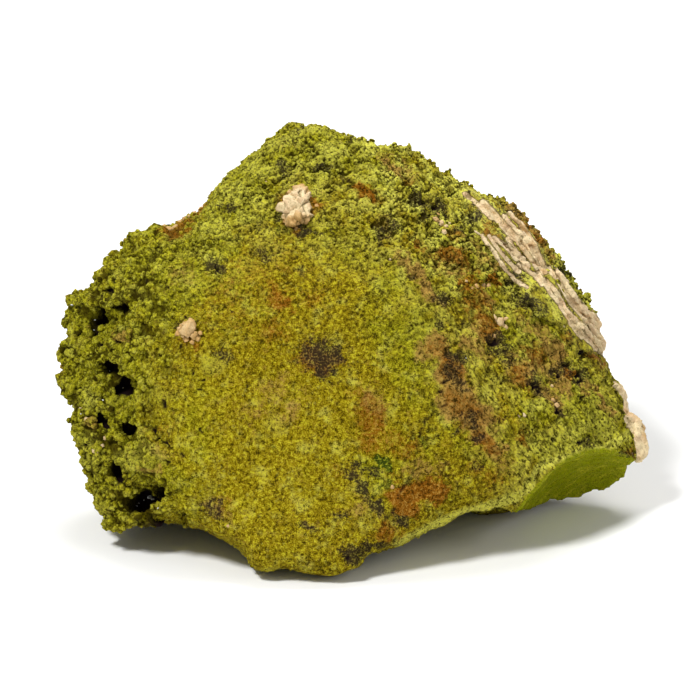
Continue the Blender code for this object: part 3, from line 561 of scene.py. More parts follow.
class Finish:
    """A material with one Principled shader, and the one method that adds its other nodes."""

    def __init__(self, name, specular):
        self.material = bpy.data.materials.new(name)
        self.material.use_nodes = True
        self.tree = self.material.node_tree
        self.shader = self.tree.nodes["Principled BSDF"]
        self.shader.inputs["Specular IOR Level"].default_value = specular

    def add(self, kind, settings, sockets, output=0):
        """A node of that kind: its settings, then the values or wires of its sockets."""
        node = self.tree.nodes.new(kind)
        for name, value in settings.items():
            setattr(node, name, value)
        for name, value in sockets.items():
            self.join(value, node.inputs[name])
        return Wire(self, node.outputs[output])

    def join(self, value, socket):
        if isinstance(value, Wire):
            self.tree.links.new(value.socket, socket)
        else:
            socket.default_value = value

    def millimetres(self):
        """Object coordinates in mm."""
        coords = self.add("ShaderNodeTexCoord", {}, {}, "Object")
        return self.add("ShaderNodeVectorMath", {"operation": "SCALE"}, {0: coords, "Scale": 1 / MM})

    def squeezed(self, where, along, times):
        """Coordinates squeezed along one direction, so that a pattern runs that way."""
        along = Vector(along).normalized()
        turn = along.to_track_quat("X", "Z").to_matrix().inverted().to_euler()
        settings = {"vector_type": "POINT"}
        turned = self.add("ShaderNodeMapping", settings, {0: where, "Rotation": turn})
        settings = {"vector_type": "TEXTURE"}
        return self.add("ShaderNodeMapping", settings, {0: turned, "Scale": (times, 1.0, 1.0)})

    def mottle(self, where, size, detail=2.0, roughness=0.5):
        """Cloudy noise, 0 to 1, with waves of that size in mm."""
        sockets = {"Vector": where, "Scale": 1.0 / size, "Detail": detail, "Roughness": roughness}
        return self.add("ShaderNodeTexNoise", {}, sockets)

    def painted(self, name):
        """A value kept at the vertices."""
        return self.add("ShaderNodeAttribute", {"attribute_name": name}, {}, "Fac")

    def between(self, value, low, high):
        """0 below low, 1 above high, smooth between; low may be the larger."""
        settings = {"interpolation_type": "SMOOTHSTEP"}
        ends = {1: low, 2: high, 3: 0.0, 4: 1.0} if low < high else {1: high, 2: low, 3: 1.0, 4: 0.0}
        return self.add("ShaderNodeMapRange", settings, {0: value, **ends})

    def blend(self, share, first, second):
        """One colour passing into another."""
        colours = [c if isinstance(c, Wire) else (*c, 1.0) for c in (first, second)]
        sockets = {0: share, 6: colours[0], 7: colours[1]}
        return self.add("ShaderNodeMix", {"data_type": "RGBA"}, sockets, 2)

    def relief(self, height, depth):
        """Feeds a height, 0 to 1, to the surface as a bump that many mm deep."""
        sockets = {"Height": height, "Distance": depth * MM, "Strength": 1.0}
        self.join(self.add("ShaderNodeBump", {}, sockets), self.shader.inputs["Normal"])

    def surface(self, colour, roughness):
        self.join(colour, self.shader.inputs["Base Color"])
        self.join(roughness, self.shader.inputs["Roughness"])


def clay_grain(clay, mm, fracture, grit, crumbs, streaks):
    """The height of the clay's grit and crumbs, drawn out where the shoulder is ridged and turned
    into streaks on the fracture."""
    streaked = clay.mottle(clay.squeezed(mm, (0.52, -0.32, -0.79), 3.0), 0.34, 2.0, 0.55)
    height = grit * 0.55 + crumbs * 0.45
    height = height + (streaked - height) * clay.painted("ridged") * 0.45
    height = height + (streaks * 0.3 + 0.35 - height) * fracture * 0.55
    clods = clay.between(clay.mottle(mm, 0.75, 3.0, 0.6), 0.53, 0.36)
    return height - clods * (0.025 + 0.045 * clay.painted("rough")) * (1.0 - fracture)


def clay_greens(clay, mm, look):
    """Yellower and greener clay, with chalky patches."""
    broad = clay.painted("green") + (clay.mottle(mm, 5.0, 3.0, 0.6) - 0.5) * 1.6
    patchy = clay.mottle(mm, 2.6, 3.0, 0.6)
    colour = clay.blend(clay.between(broad, 0.0, 0.85), look.olive, look.green)
    colour = clay.blend(clay.between(patchy, 0.5, 0.78) * 0.5, colour, look.pale_green)
    return clay.blend(clay.painted("pale") * 0.75, colour, look.pale_green)


def clay_stains(clay, mm, look, colour):
    """Weathering and stains with sprinkled borders: the colour, and where it is tan and rusty."""
    sprinkled = clay.mottle(mm, 0.4, 3.0, 0.65)
    tan = clay.painted("tan") * 0.9 + clay.mottle(mm, 1.4, 3.0, 0.65) + sprinkled * 0.9
    tanned = clay.between(tan, 0.97, 1.6)
    colour = clay.blend(tanned * 0.95, colour, look.tan)
    rust = clay.painted("rust") + clay.mottle(mm, 1.0, 3.0, 0.65) * 0.9 + sprinkled
    rusted = clay.between(rust, 1.03, 1.8)
    colour = clay.blend(rusted, colour, look.rust)
    moss = clay.between(clay.painted("moss") + clay.mottle(mm, 0.8, 2.0, 0.6), 0.75, 1.3)
    return clay.blend(moss, colour, look.moss), tanned, rusted


def clay_fracture(clay, look, grit, crumbs, streaks):
    """The colour of the fresh, streaked fracture, with painted highlight on its raised streaks
    and painted shade in the pits of its grit.
    """
    fresh = clay.blend(clay.between(streaks, 0.35, 0.65) * 0.4, look.fracture, look.moss)
    fresh = clay.blend(clay.between(crumbs, 0.5, 0.62) * 0.5, fresh, look.green)
    fresh = clay.blend(clay.between(streaks, 0.5, 0.7) * 0.35, fresh, look.tips)
    return clay.blend(clay.between(grit, 0.5, 0.36) * 0.7, fresh, look.pore_shade)


def clay_darks(clay, mm, look, colour):
    """Dark specks in ashy patches, painted shade in the seams and hollows, the voids' dark lining,
    and painted shade in the cracks.
    """
    soot = clay.painted("soot")
    broken = soot + (clay.mottle(mm, 0.8, 2.0, 0.6) - 0.5) * 1.2
    specks = clay.between(broken * 0.2 + clay.mottle(mm, 0.3, 3.0, 0.65), 0.55, 0.67)
    colour = clay.blend(clay.between(broken, 0.2, 1.0) * 0.55, colour, look.ash)
    colour = clay.blend(specks * clay.between(soot, 0.0, 0.3) * 0.85, colour, look.soot)
    # Painted shade in the seams and hollows.
    seams = clay.between(clay.painted("seam_shade"), 0.15, 0.95)
    colour = clay.blend(seams * 0.9, colour, look.pore_shade)
    colour = clay.blend(clay.painted("shade"), colour, look.pore_shade)
    return clay.blend(clay.painted("void"), colour, look.soot)


def clay_layers(clay, look):
    """The clay's colour and the height of its grain, for any finish that shows clay."""
    mm = clay.millimetres()
    fracture = clay.painted("fracture")
    grit = clay.mottle(mm, 0.17, 2.0, 0.65)
    crumbs = clay.mottle(mm, 0.55, 2.0, 0.55)
    streaks = clay.mottle(clay.squeezed(mm, (0.8, 0.1, 0.55), 5.0), 0.8, 2.0, 0.5)
    height = clay_grain(clay, mm, fracture, grit, crumbs, streaks)
    colour, tanned, rusted = clay_stains(clay, mm, look, clay_greens(clay, mm, look))
    colour = clay.blend(fracture, colour, clay_fracture(clay, look, grit, crumbs, streaks))
    # Painted highlight on the raised tips of the grains, tan where the clay is stained.
    tips = clay.between(height, 0.5, 0.62) * (1.0 - 0.4 * fracture)
    fresh_tip_highlight = tips * (1.0 - 0.8 * tanned) * (1.0 - 0.8 * rusted)
    colour = clay.blend(fresh_tip_highlight * 0.7, colour, look.tips)
    colour = clay.blend((tips - fresh_tip_highlight) * 0.45, colour, look.stained_tip_highlight)
    # Painted shade in the pores between the grains.
    pore_shade = clay.between(height, 0.5, 0.38) * (1.0 - 0.45 * fracture)
    colour = clay.blend(pore_shade * 0.92, colour, look.pore_shade)
    return clay_darks(clay, mm, look, colour), height


def clay_finish(look):
    """The granular yellow-green clay rock, its stains, voids and smooth fracture."""
    clay = Finish("nontronite clay", 0.04)
    colour, height = clay_layers(clay, look)
    clay.surface(colour, 0.95 - 0.2 * clay.painted("fracture"))
    clay.relief(height, 0.3)
    return clay.material


def cream_finish(look, clay_look, name):
    """Waxy cream chalcedony, tan where stained, with painted shade in its creases and pits, bare
    clay between its ribs.
    """
    cream = Finish(name, 0.22)
    mm = cream.millimetres()
    bare = cream.painted("bare")
    clay, clay_height = clay_layers(cream, clay_look)
    cloud = cream.mottle(mm, 1.6, 3.0, 0.6)
    grit = cream.mottle(mm, 0.26, 2.0, 0.6)
    colour = cream.blend(cream.between(cloud, 0.38, 0.66), look.cream, look.pink_cream)
    brown = cream.painted("brown") + (cloud - 0.5) * 0.7
    colour = cream.blend(cream.between(brown, 0.1, 0.9), colour, look.amber)
    # Painted shade in the creases and in the pits of the grit.
    crease = cream.painted("crease") + (grit - 0.5) * 0.6
    colour = cream.blend(cream.between(crease, 0.3, 0.95) * 0.9, colour, look.olive_shade_and_mottle)
    colour = cream.blend(cream.between(grit, 0.46, 0.34) * 0.4, colour, look.olive_shade_and_mottle)
    colour = cream.blend(cream.between(bare + (grit + cloud - 1.0) * 0.9, 0.35, 0.7), colour, clay)
    cream.surface(colour, 0.6 + 0.3 * bare)
    cream.relief(grit * 0.6 + cloud * 0.3 + clay_height * bare, 0.2)
    return cream.material


def crystal_finish():
    """Small bright grains of quartz."""
    quartz = Finish("quartz grains", 0.6)
    mm = quartz.millimetres()
    frost = quartz.mottle(mm, 0.25)
    colour = quartz.blend(frost, (0.62, 0.64, 0.6), (0.95, 0.96, 0.94))
    quartz.surface(colour, 0.12 + 0.25 * frost)
    return quartz.material


def floor_finish(colour):
    """A plain pale floor."""
    plain = Finish("pale floor", 0.2)
    plain.surface((*colour, 1.0), 0.9)
    return plain.material


def colour_setting(name, description, default):
    """A colour that the user can change."""
    return FloatVectorProperty(
        name=name, description=description, default=default, size=3, subtype="COLOR", min=0, max=1)


def length_setting(name, description, default, least):
    """A length that the user can change."""
    return FloatProperty(
        name=name, description=description, default=default, min=least, unit="LENGTH")


class StageLook(bpy.types.PropertyGroup):
    elevation: FloatProperty(
        name="Camera Elevation", description="How far the camera looks down on the specimen",
        default=math.radians(22), min=0, max=math.radians(89), subtype="ANGLE")
    distance: length_setting("Camera Distance", "From the camera to the point it looks at", 1.5, 0.1)
    lens: FloatProperty(
        name="Focal Length", description="The camera's focal length in millimetres",
        default=514.3, min=20.0)
    aim: FloatVectorProperty(
        name="Aim", description="The point the camera looks at",
        default=(-0.0008, -0.0002, 0.0264), size=3, subtype="TRANSLATION")
    floor: colour_setting("Floor", "The floor's colour", (0.88, 0.88, 0.87))
    daylight: FloatProperty(
        name="Surrounding Light", description="How bright the white surroundings are",
        default=0.3, min=0)


class LumpLook(bpy.types.PropertyGroup):
    grain: length_setting(
        "Grain", "The side of the skin's squares on the sides turned away", 0.00071, 0.0003)
    nodule: length_setting("Nodule", "The width of a nodule on the left flank", 0.00135, 0.0005)
    nodule_rise: length_setting(
        "Nodule Rise", "How far a nodule stands out of its seams", 0.00062, 0)
    crumb: length_setting("Crumb", "The width of a crumb on the weathered top", 0.00095, 0.0003)
    crumb_rise: length_setting("Crumb Rise", "How far a crumb stands out", 0.00034, 0)
    ridge: length_setting("Ridge", "The spacing of the ridges on the right shoulder", 0.0011, 0.0003)
    ridge_rise: length_setting("Ridge Rise", "How far a ridge stands out", 0.00045, 0)
    olive: colour_setting("Olive", "The clay's yellower colour", (0.225, 0.16, 0.0035))
    green: colour_setting("Green", "The clay's greener colour", (0.215, 0.2, 0.005))
    # Chalky clay, and also the painted highlight on the lip's edges and on the crowns of the grains.
    pale_green: colour_setting("Pale Green", "Chalky clay", (0.62, 0.6, 0.095))
    # Painted highlight: the colour painted on the raised tips of the grains.
    tips: colour_setting("Grain Tips", "The worn tips of the grains", (0.57, 0.53, 0.025))
    stained_tip_highlight: colour_setting(
        "Stained Tips", "The tips of the grains where the clay is stained",
        (0.52, 0.34, 0.085))
    # Painted shade: the colour painted into pores, seams and hollows.
    pore_shade: colour_setting("Pores", "The gaps between the grains", (0.028, 0.02, 0.0006))
    tan: colour_setting("Tan", "Tan weathering", (0.31, 0.18, 0.04))
    rust: colour_setting("Rust", "Iron stains", (0.23, 0.08, 0.004))
    moss: colour_setting("Dark Green", "Dark green clay", (0.035, 0.06, 0.004))
    ash: colour_setting("Ash", "Grey round the dark specks", (0.14, 0.115, 0.04))
    # Also painted into the cracks as their shade.
    soot: colour_setting("Soot", "Dark manganese specks and deep voids", (0.01, 0.005, 0.005))
    fracture: colour_setting("Fracture", "The fresh, smooth fracture", (0.26, 0.285, 0.0015))


class CreamLook(bpy.types.PropertyGroup):
    grain: length_setting("Grain", "The side of the squares of the crust's skin", 0.00016, 0.0001)
    cream: colour_setting("Cream", "The chalcedony's paler colour", (0.72, 0.58, 0.34))
    pink_cream: colour_setting("Pink Cream", "The chalcedony's warmer colour", (0.61, 0.44, 0.26))
    amber: colour_setting("Amber", "Iron-stained chalcedony", (0.5, 0.3, 0.1))
    # Painted shade in the crust's creases, valleys and pits; on the crumbs, a random darker mottle.
    olive_shade_and_mottle: colour_setting("Seams", "The seams between the ribs", (0.12, 0.085, 0.012))


class Face:
    """Where the vertices of the lump lie on its face, and how the face is turned there."""

    def __init__(self, mesh, eye):
        self.points = places_of(mesh)
        self.normals = normals_of(mesh)
        self.pixels = eye.pixels(self.points)
        self.pixel_size = eye.pixel_size()
        self.seen = ease((self.normals @ eye.back + 0.12) / 0.3)
        self.face = face_places(self.points)
        away = (self.face - FRACTURE_CENTRE) / FRACTURE_RADII
        self.reach = np.linalg.norm(away, axis=1)
        inward = away / FRACTURE_RADII
        inward /= np.linalg.norm(inward, axis=1)[:, None]
        turned = np.stack([self.normals @ axis for axis in (RIGHT, UP, OUT)], axis=1)
        self.hollow = ease((0.25 - np.sum(turned * inward, axis=1)) / 0.5)

    def fracture(self):
        """The smooth fracture's own skin."""
        return ease((0.085 - np.abs(self.reach - 1.0)) / 0.05) * self.hollow

    def flank(self):
        """The nodular left flank, on the face and round its side."""
        edge = FLANK_START - self.face[:, 0] + 0.12 * self.face[:, 1]
        low = ease((-14.0 - self.face[:, 1]) / 6.0)
        return ease((edge + 6.0 * low + 2.5 * roughness_at(self.points, 5.0, 3.7)) / 11.0)

    def ridged(self):
        """The right shoulder, where ridges run down to the right."""
        edge = self.face[:, 0] + 0.45 * self.face[:, 1] - SHOULDER_START
        return ease((edge + 2.0 * roughness_at(self.points, 6.0, 13.1)) / 12.0)

    def crumbly(self):
        """The weathered top and upper edges."""
        edge = self.face[:, 1] + 0.28 * np.abs(self.face[:, 0] + 6.0) - TOP_START
        return ease((edge + 2.0 * roughness_at(self.points, 6.0, 23.9)) / 12.0)

    def down(self):
        """The underside, which has no fine relief where it is rubbed flat."""
        return ease((self.points[:, 2] - 0.35) / 1.2)


def lump_skin(look, eye):
    """The lump's skin, with finer squares on the face and the flank than behind."""
    skin = even_skin(mesh_from(merged_copy("nontronite_lump"), "lump"), look.grain)
    bm = bmesh.new()
    bm.from_mesh(skin)
    bpy.data.meshes.remove(skin)
    back = Vector(eye.back)
    fine = {v for v in bm.verts if v.normal @ back > 0.02}
    edges = [edge for edge in bm.edges if edge.verts[0] in fine and edge.verts[1] in fine]
    bmesh.ops.subdivide_edges(bm, edges=edges, cuts=1, use_grid_fill=True)
    axes = {"use_axis_x": True, "use_axis_y": True, "use_axis_z": True}
    bmesh.ops.smooth_vert(bm, verts=bm.verts, factor=0.5, **axes)
    bmesh.ops.triangulate(bm, faces=[face for face in bm.faces if len(face.verts) > 4])
    return mesh_from(bm, "lump")


def carve_voids(face):
    """How deep the voids go at each vertex, in mm, and how dark they are."""
    depth = np.zeros(len(face.points))
    dark = np.zeros(len(face.points))
    ragged = face.pixels + frayed(face, 4.0, 1.1, (5.1, 6.3))
    for reached, share, (deep,) in oval_fields(ragged, face.pixel_size, VOIDS, 0.3):
        share = share * face.seen[reached]
        depth[reached] = np.maximum(depth[reached], deep * share)
        dark[reached] = np.maximum(dark[reached], ease((share - 0.25) / 0.6))
    return depth, dark


def crack_shares(face):
    """How strongly a crack shows at each vertex."""
    shares = np.zeros(len(face.points))
    wavy = face.pixels + 1.2 * roughness_at(face.points, 1.0, 9.1)[:, None]
    for run in CRACKS:
        shares = np.maximum(shares, ease(1.15 - line_distance(wavy, run) / 1.7))
    return shares * face.seen * ease(0.75 + roughness_at(face.points, 1.2, 2.9))


def nodule_relief(look, points, loose):
    """The left flank's nodules: their depth in mm, the painted shade of their seams and hollows,
    and the hollows.
    """
    big = nodules_at(loose, look.nodule / MM, 4.2)
    small = nodules_at(loose, 0.45 * look.nodule / MM, 14.2)
    hollows = ease(0.5 + 1.3 * roughness_at(points, 2.2, 64.1))
    depth = (1.0 - big) * look.nodule_rise / MM + (1.0 - small) * 0.16 + 0.8 * hollows
    return depth, np.maximum(ease((0.75 - big) / 0.5), 0.15 + 0.5 * hollows), hollows


def crumb_relief(look, points, loose):
    """The weathered top's crumbs: their depth in mm, and the painted shade of their seams and
    creases.
    """
    crumbs = nodules_at(loose, look.crumb / MM, 8.6)
    lumps = roughness_at(points, 2.4, 44.1)
    creases = np.abs(roughness_at(drawn_out(loose, 0.75 * RIGHT + 0.6 * UP, 1.8), 1.5, 54.1))
    depth = (1.0 - crumbs) * look.crumb_rise / MM - 0.3 * lumps
    depth += 0.75 * ease((0.16 - creases) / 0.16)
    return depth, np.maximum(0.75 * ease((0.55 - crumbs) / 0.4), ease((0.14 - creases) / 0.14))


def ridge_relief(look, points, loose):
    """The right shoulder's ridges and steps: their depth in mm, and the painted shade of their
    furrows.
    """
    ridges = np.abs(roughness_at(drawn_out(loose, DOWN_RIGHT, 3.2), look.ridge / MM, 71.3))
    depth = (1.0 - 2.4 * ridges) * 1.3 * look.ridge_rise / MM
    steps = 0.8 * roughness_at(drawn_out(points, DOWN_RIGHT, 2.2), 3.2, 91.3)
    depth += steps + 0.35 * (1.0 - nodules_at(loose, 0.8, 81.3))
    return depth, 0.7 * ease((0.14 - ridges) / 0.14)


def plain_relief(points, loose, rough):
    """The plain face's waves and clefts: their depth in mm, and the painted shade of the clefts."""
    clefts = np.abs(roughness_at(loose, 1.5, 97.3))
    depth = 0.12 * roughness_at(points, 0.8, 18.4) + 0.22 * roughness_at(points, 3.0, 28.4)
    depth += 0.4 * rough * ease((0.13 - clefts) / 0.13)
    return depth, 0.45 * rough * ease((0.1 - clefts) / 0.1)


def fracture_relief(points):
    """The depth in mm of the smooth fracture's waves and streaks."""
    streaked = drawn_out(points, 0.8 * RIGHT + 0.4 * UP, 4.0)
    depth = 0.28 * roughness_at(points, 4.5, 38.4) + 0.2 * roughness_at(streaked, 0.9, 39.4)
    return depth + 0.12 * roughness_at(points, 0.9, 40.4)


def pale_share(face, free, crumbly, ridged):
    """How pale each vertex is: stains, weathered chalky patches, and painted highlight along the
    thin edges of the lip and of the lower border.
    """
    chalk = ease(0.5 + 0.9 * roughness_at(face.points, 2.6, 77.7, 3)) * (crumbly + 0.9 * ridged)
    pale = np.maximum(stain(face, PALE), 0.65 * chalk) * face.seen
    # Painted highlight along the rim of the lip and along the thin edges of the lip and the lower
    # border.
    lip = free * ease((1.075 - face.reach) / 0.05) * face.seen
    edges = np.zeros(len(face.points))
    for run, half_width in HIGHLIGHT_EDGES:
        gap = line_distance(face.pixels, run) * face.pixel_size
        edges = np.maximum(edges, ease(1.5 - gap / half_width))
    return np.maximum(pale, np.maximum(0.5 * lip, edges * face.seen))


def dress_lump(look, eye):
    """Carves the relief of the lump into its skin and paints where its stains lie."""
    mesh = lump_skin(look, eye)
    face = Face(mesh, eye)
    points = face.points
    hidden = 1.0 - face.seen
    fracture = face.fracture()
    free = 1.0 - fracture
    flank = face.flank() * free
    ridged = face.ridged() * free * (1.0 - flank)
    crumbly = np.maximum(face.crumbly(), 0.4 * hidden) * free * (1.0 - flank)
    rough = (1.0 - stain(face, EVEN_GRAINED)) * free
    loose = wobbled(points, 2.2, 0.45, 31.7)
    nodule_depth, nodule_seam_shade, hollows = nodule_relief(look, points, loose)
    crumb_depth, crumb_seam_shade = crumb_relief(look, points, loose)
    ridge_depth, furrows = ridge_relief(look, points, loose)
    plain_depth, clefts = plain_relief(points, loose, rough)
    void_depth, void = carve_voids(face)
    cracks = crack_shares(face)
    depth = flank * nodule_depth + crumbly * crumb_depth + 0.85 * ridged * ridge_depth
    depth += free * (1.0 - 0.6 * flank) * plain_depth + fracture * fracture_relief(points)
    depth = depth * face.down() + void_depth + 0.3 * cracks
    put_back(mesh, points - face.normals * depth[:, None])
    paint(mesh, "fracture", fracture)
    paint(mesh, "ridged", ridged)
    paint(mesh, "flank", flank)
    paint(mesh, "crumbly", crumbly)
    # Painted shade in the seams, hollows, creases, furrows and clefts.
    paint(mesh, "seam_shade", flank * nodule_seam_shade + crumbly * crumb_seam_shade + ridged * furrows + clefts)
    # The voids' own dark lining, and painted shade in the cracks.
    paint(mesh, "void", np.maximum(void, 0.85 * cracks))
    paint(mesh, "shade", 0.4 * flank * ease((hollows - 0.6) / 0.4))
    paint(mesh, "rough", rough)
    paint(mesh, "green", stain(face, GREENS, 0.9) * face.seen + 0.6 * hidden)
    paint(mesh, "pale", pale_share(face, free, crumbly, ridged))
    for name, stains, edge, grown, size, least in STAINS:
        elsewhere = 0.6 * ease((roughness_at(points, size, size) - least) / 0.5) * hidden * free
        here = stain(face, stains, edge, grown) * face.seen
        paint(mesh, name, np.maximum(here, elsewhere))
    return mesh


def ground_tree():
    """The dressed lump's surface, for setting things on it."""
    lump = bpy.data.objects.get("granular_lump")
    if lump is None:
        raise RuntimeError("build the lump first: the crust, crumbs and crystals are set on it")
    return BVHTree.FromObject(lump, bpy.context.evaluated_depsgraph_get())


def seat(tree, eye, pixel):
    """The point of the lump that a pixel shows, and the way out of it there, in metres. Where the
    pixel just misses the lump, it is the nearest point to the line of sight."""
    start = Vector(eye.place) * MM
    direction = eye.ray(pixel)
    place, normal, _, _ = tree.ray_cast(start, direction)
    if place is None:
        middle = float(np.linalg.norm(eye.aim - eye.place)) * MM
        passing = [start + direction * (middle + step * MM) for step in range(-30, 45)]
        place, normal, _, _ = min(map(tree.find_nearest, passing), key=lambda hit: hit[3])
    near = [tree.find_nearest(place + Vector(shift) * MM)[1] for shift in
            ((1, 0, 0), (-1, 0, 0), (0, 1, 0), (0, -1, 0), (0, 0, 1), (0, 0, -1))]
    return place, sum(near, normal.copy()).normalized()


def in_sight(seats, run, pixel_size):
    """Leaves out a run's first seats where it slips over the edge of what the photograph shows."""
    far_apart = 2.5 * pixel_size
    early = []
    for index in range(len(seats) - 1):
        gap = (seats[index][0] - seats[index + 1][0]).length / MM
        if gap > far_apart * math.dist(run[index], run[index + 1]) and index < len(seats) / 2:
            early.append(index)
    return seats[early[-1] + 1:] if early else seats


def along_seats(reached, values, share):
    """The place or the way between the seats of a run, that far along it."""
    return Vector([np.interp(share, reached, values[:, axis]) for axis in range(3)])


def add_rib(bm, seats, half_width, height, seed):
    """Adds a rounded rib along seats on the rock."""
    steps = 32
    shape = bmesh.ops.create_uvsphere(bm, u_segments=12, v_segments=steps, radius=1.0)
    places = np.array([place for place, _ in seats])
    ways = np.array([way for _, way in seats])
    runs = np.linalg.norm(np.diff(places, axis=0), axis=1)
    reached = np.concatenate([[0.0], np.cumsum(runs)])
    length = reached[-1]
    nearby = 0.1 * length
    for vert in shape["verts"]:
        share = (vert.co.z + 1.0) / 2.0 * length
        place = along_seats(reached, places, share)
        way = along_seats(reached, ways, share).normalized()
        run = along_seats(reached, places, min(share + nearby, length))
        run -= along_seats(reached, places, max(share - nearby, 0.0))
        side = run.cross(way).normalized()
        blunt = math.sqrt(max(1.0 - vert.co.z ** 4, 0.0))
        round_now = max(math.sqrt(max(1.0 - vert.co.z ** 2, 0.0)), 1e-4)
        swell = 1.0 + 0.45 * noise.noise(place / (0.9 * MM) + Vector((seed, 0, 0)))
        scale = blunt / round_now * swell * MM
        sway = 0.25 * half_width * noise.noise(place / (1.1 * MM) + Vector((0, seed, 0))) * MM
        vert.co = place + side * (vert.co.x * half_width * scale + sway) + way * (
            vert.co.y * height * scale)


def sink_to_rock(mesh, rock, left, root):
    """Lets at most so many mm of a shell stand over the rock, more at the right rim, where the crust
    is thickest, and roots its inside in the rock."""
    moved = places_of(mesh)
    lefts = left + RIM_THICKNESS * ease((moved[:, 0] - RIM_START) / 4.0)
    for index, (point, out) in enumerate(zip(moved * MM, normals_of(mesh))):
        place, normal, _, _ = rock.find_nearest(Vector(point))
        rise = (Vector(point) - place).dot(normal) / MM
        wanted = min(rise, lefts[index]) if normal.dot(Vector(out)) > 0.0 else -root
        moved[index] -= np.array(normal) * (rise - wanted)
    put_back(mesh, moved)


def rises_of(points, rock):
    """How far points in mm lie from the rock."""
    return np.array([rock.find_nearest(Vector(point) * MM)[3] for point in points]) / MM


def off_ribs(pixels, pixel_size):
    """How far each pixel is from the nearest rib's crest, in half widths of that rib."""
    nearest = np.full(len(pixels), np.inf)
    for half_width, _, run in RIBS:
        nearest = np.minimum(nearest, line_distance(pixels, run) * pixel_size / half_width)
    return nearest


def painted_on(mesh, name):
    """The values that are painted at the vertices."""
    values = np.empty(len(mesh.vertices), np.float32)
    mesh.attributes[name].data.foreach_get("value", values)
    return values


def carry_paint(mesh):
    """Gives each vertex what is painted on the lump's nearest vertex."""
    lump = bpy.data.objects["granular_lump"].data
    kept = KDTree(len(lump.vertices))
    for index, point in enumerate(places_of(lump)):
        kept.insert(point, index)
    kept.balance()
    nearest = [kept.find(point)[1] for point in places_of(mesh)]
    for name in CLAY_PAINTS:
        paint(mesh, name, painted_on(lump, name)[nearest])


def rib_seats(run, height, rock, shell, eye):
    """The seats of a rib's crest, raised off the rock by the thickness of the solid crust."""
    reach = 3.0
    seats = in_sight([seat(rock, eye, pixel) for pixel in run], run, eye.pixel_size())
    gaps = [shell.ray_cast(place + way * reach * MM, -way, reach * MM)[3] for place, way in seats]
    overs = [min(reach - gap / MM, 1.7) if gap else 0.3 for gap in gaps]
    overs = np.convolve(np.pad(overs, 1, "edge"), (0.3, 0.4, 0.3), "valid")
    return [(place + way * (0.8 * over - 0.6 * height) * MM, way)
            for (place, way), over in zip(seats, overs)]


def paint_crust(mesh, points, rises, knobs, eye):
    """Paints where the crust is bare down to the clay, the painted shade of its creases and valleys,
    and its browner parts.
    """
    carry_paint(mesh)
    hidden = ease((0.2 - normals_of(mesh) @ eye.back) / 0.4)
    away = off_ribs(eye.pixels(points), eye.pixel_size())
    shown = np.maximum(ease((1.95 - away) / 0.7), 0.8 * hidden)
    rim = ease((points[:, 0] - RIM_START) / 3.0)
    shown = np.maximum(shown, (0.3 + 0.7 * rim) * ease((rises + 0.4 * rim - 0.7) / 0.4))
    paint(mesh, "bare", 1.0 - shown)
    # Painted shade in the valleys between the ribs and round the knobs.
    valleys = ease((away - 0.75) / 0.7) * (1.0 - hidden) * (1.0 - rim)
    paint(mesh, "crease", np.maximum(ease((0.3 - knobs) / 0.25) * 0.7, valleys))
    paint(mesh, "brown", 0.5 * ease(roughness_at(points, 2.5, 81.7) + 0.25))


def dress_crust(look, eye):
    """The crust, draped over the right shoulder in ribs."""
    rock = BVHTree.FromBMesh(merged_copy("nontronite_lump"))
    shell = BVHTree.FromBMesh(merged_copy("chalcedony_crust"))
    base = mesh_from(merged_copy("chalcedony_crust"), "crust base")
    sink_to_rock(base, rock, 0.3, 1.2)
    bm = bmesh.new()
    bm.from_mesh(base)
    bpy.data.meshes.remove(base)
    for seed, (half_width, height, run) in enumerate(RIBS):
        add_rib(bm, rib_seats(run, height, rock, shell, eye), half_width, height, seed + 0.37)
    mesh = even_skin(mesh_from(bm, "crust"), look.grain)
    points = places_of(mesh)
    ends = [np.array(seat(rock, eye, pixel)[0]) for pixel in CRUST_ENDS]
    rolling = drawn_out(wobbled(points, 3.0, 0.3, 7.7), ends[1] - ends[0], 7.0)
    folds = np.abs(roughness_at(rolling, 0.8, 51.7))
    fine = roughness_at(points, 0.45, 61.7)
    knobs = nodules_at(wobbled(points, 1.6, 0.4, 8.7), 0.85, 41.7)
    depth = 0.16 * (0.7 - 2.6 * folds) + 0.12 * fine + 0.22 * (0.6 - knobs)
    put_back(mesh, points - normals_of(mesh) * depth[:, None])
    paint_crust(mesh, points, rises_of(points, rock), knobs, eye)
    return mesh


def dress_nodule(node, look, browned, height):
    """A pale nodule with folded, knobbly lobes, at most so many mm high."""
    rock = ground_tree()
    low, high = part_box(node)
    base = mesh_from(merged_copy(node), node)
    sink_to_rock(base, BVHTree.FromBMesh(merged_copy("nontronite_lump")), height, 1.0)
    mesh = even_skin(base, look.grain)
    points = places_of(mesh)
    folds = np.abs(roughness_at(wobbled(points, 1.6, 0.5, 5.7), 1.9, 21.7))
    fine = roughness_at(points, 0.4, 31.7)
    depth = 0.6 * (1.0 - 2.6 * folds) + 0.08 * fine - 0.1
    put_back(mesh, points - normals_of(mesh) * depth[:, None])
    size = max(high - low) / MM
    middle = np.array((low + high) / 2) / MM
    outer = np.linalg.norm((points - middle) / size, axis=1)
    carry_paint(mesh)
    paint(mesh, "bare", ease((0.5 - rises_of(points, rock) + 0.3 * fine) / 0.4))
    # Painted shade in the valleys of the folds.
    paint(mesh, "crease", ease((0.28 - folds) / 0.3) * 0.8)
    paint(mesh, "brown", np.maximum(ease((outer - 0.3) / 0.2) * 0.8, browned))
    return mesh


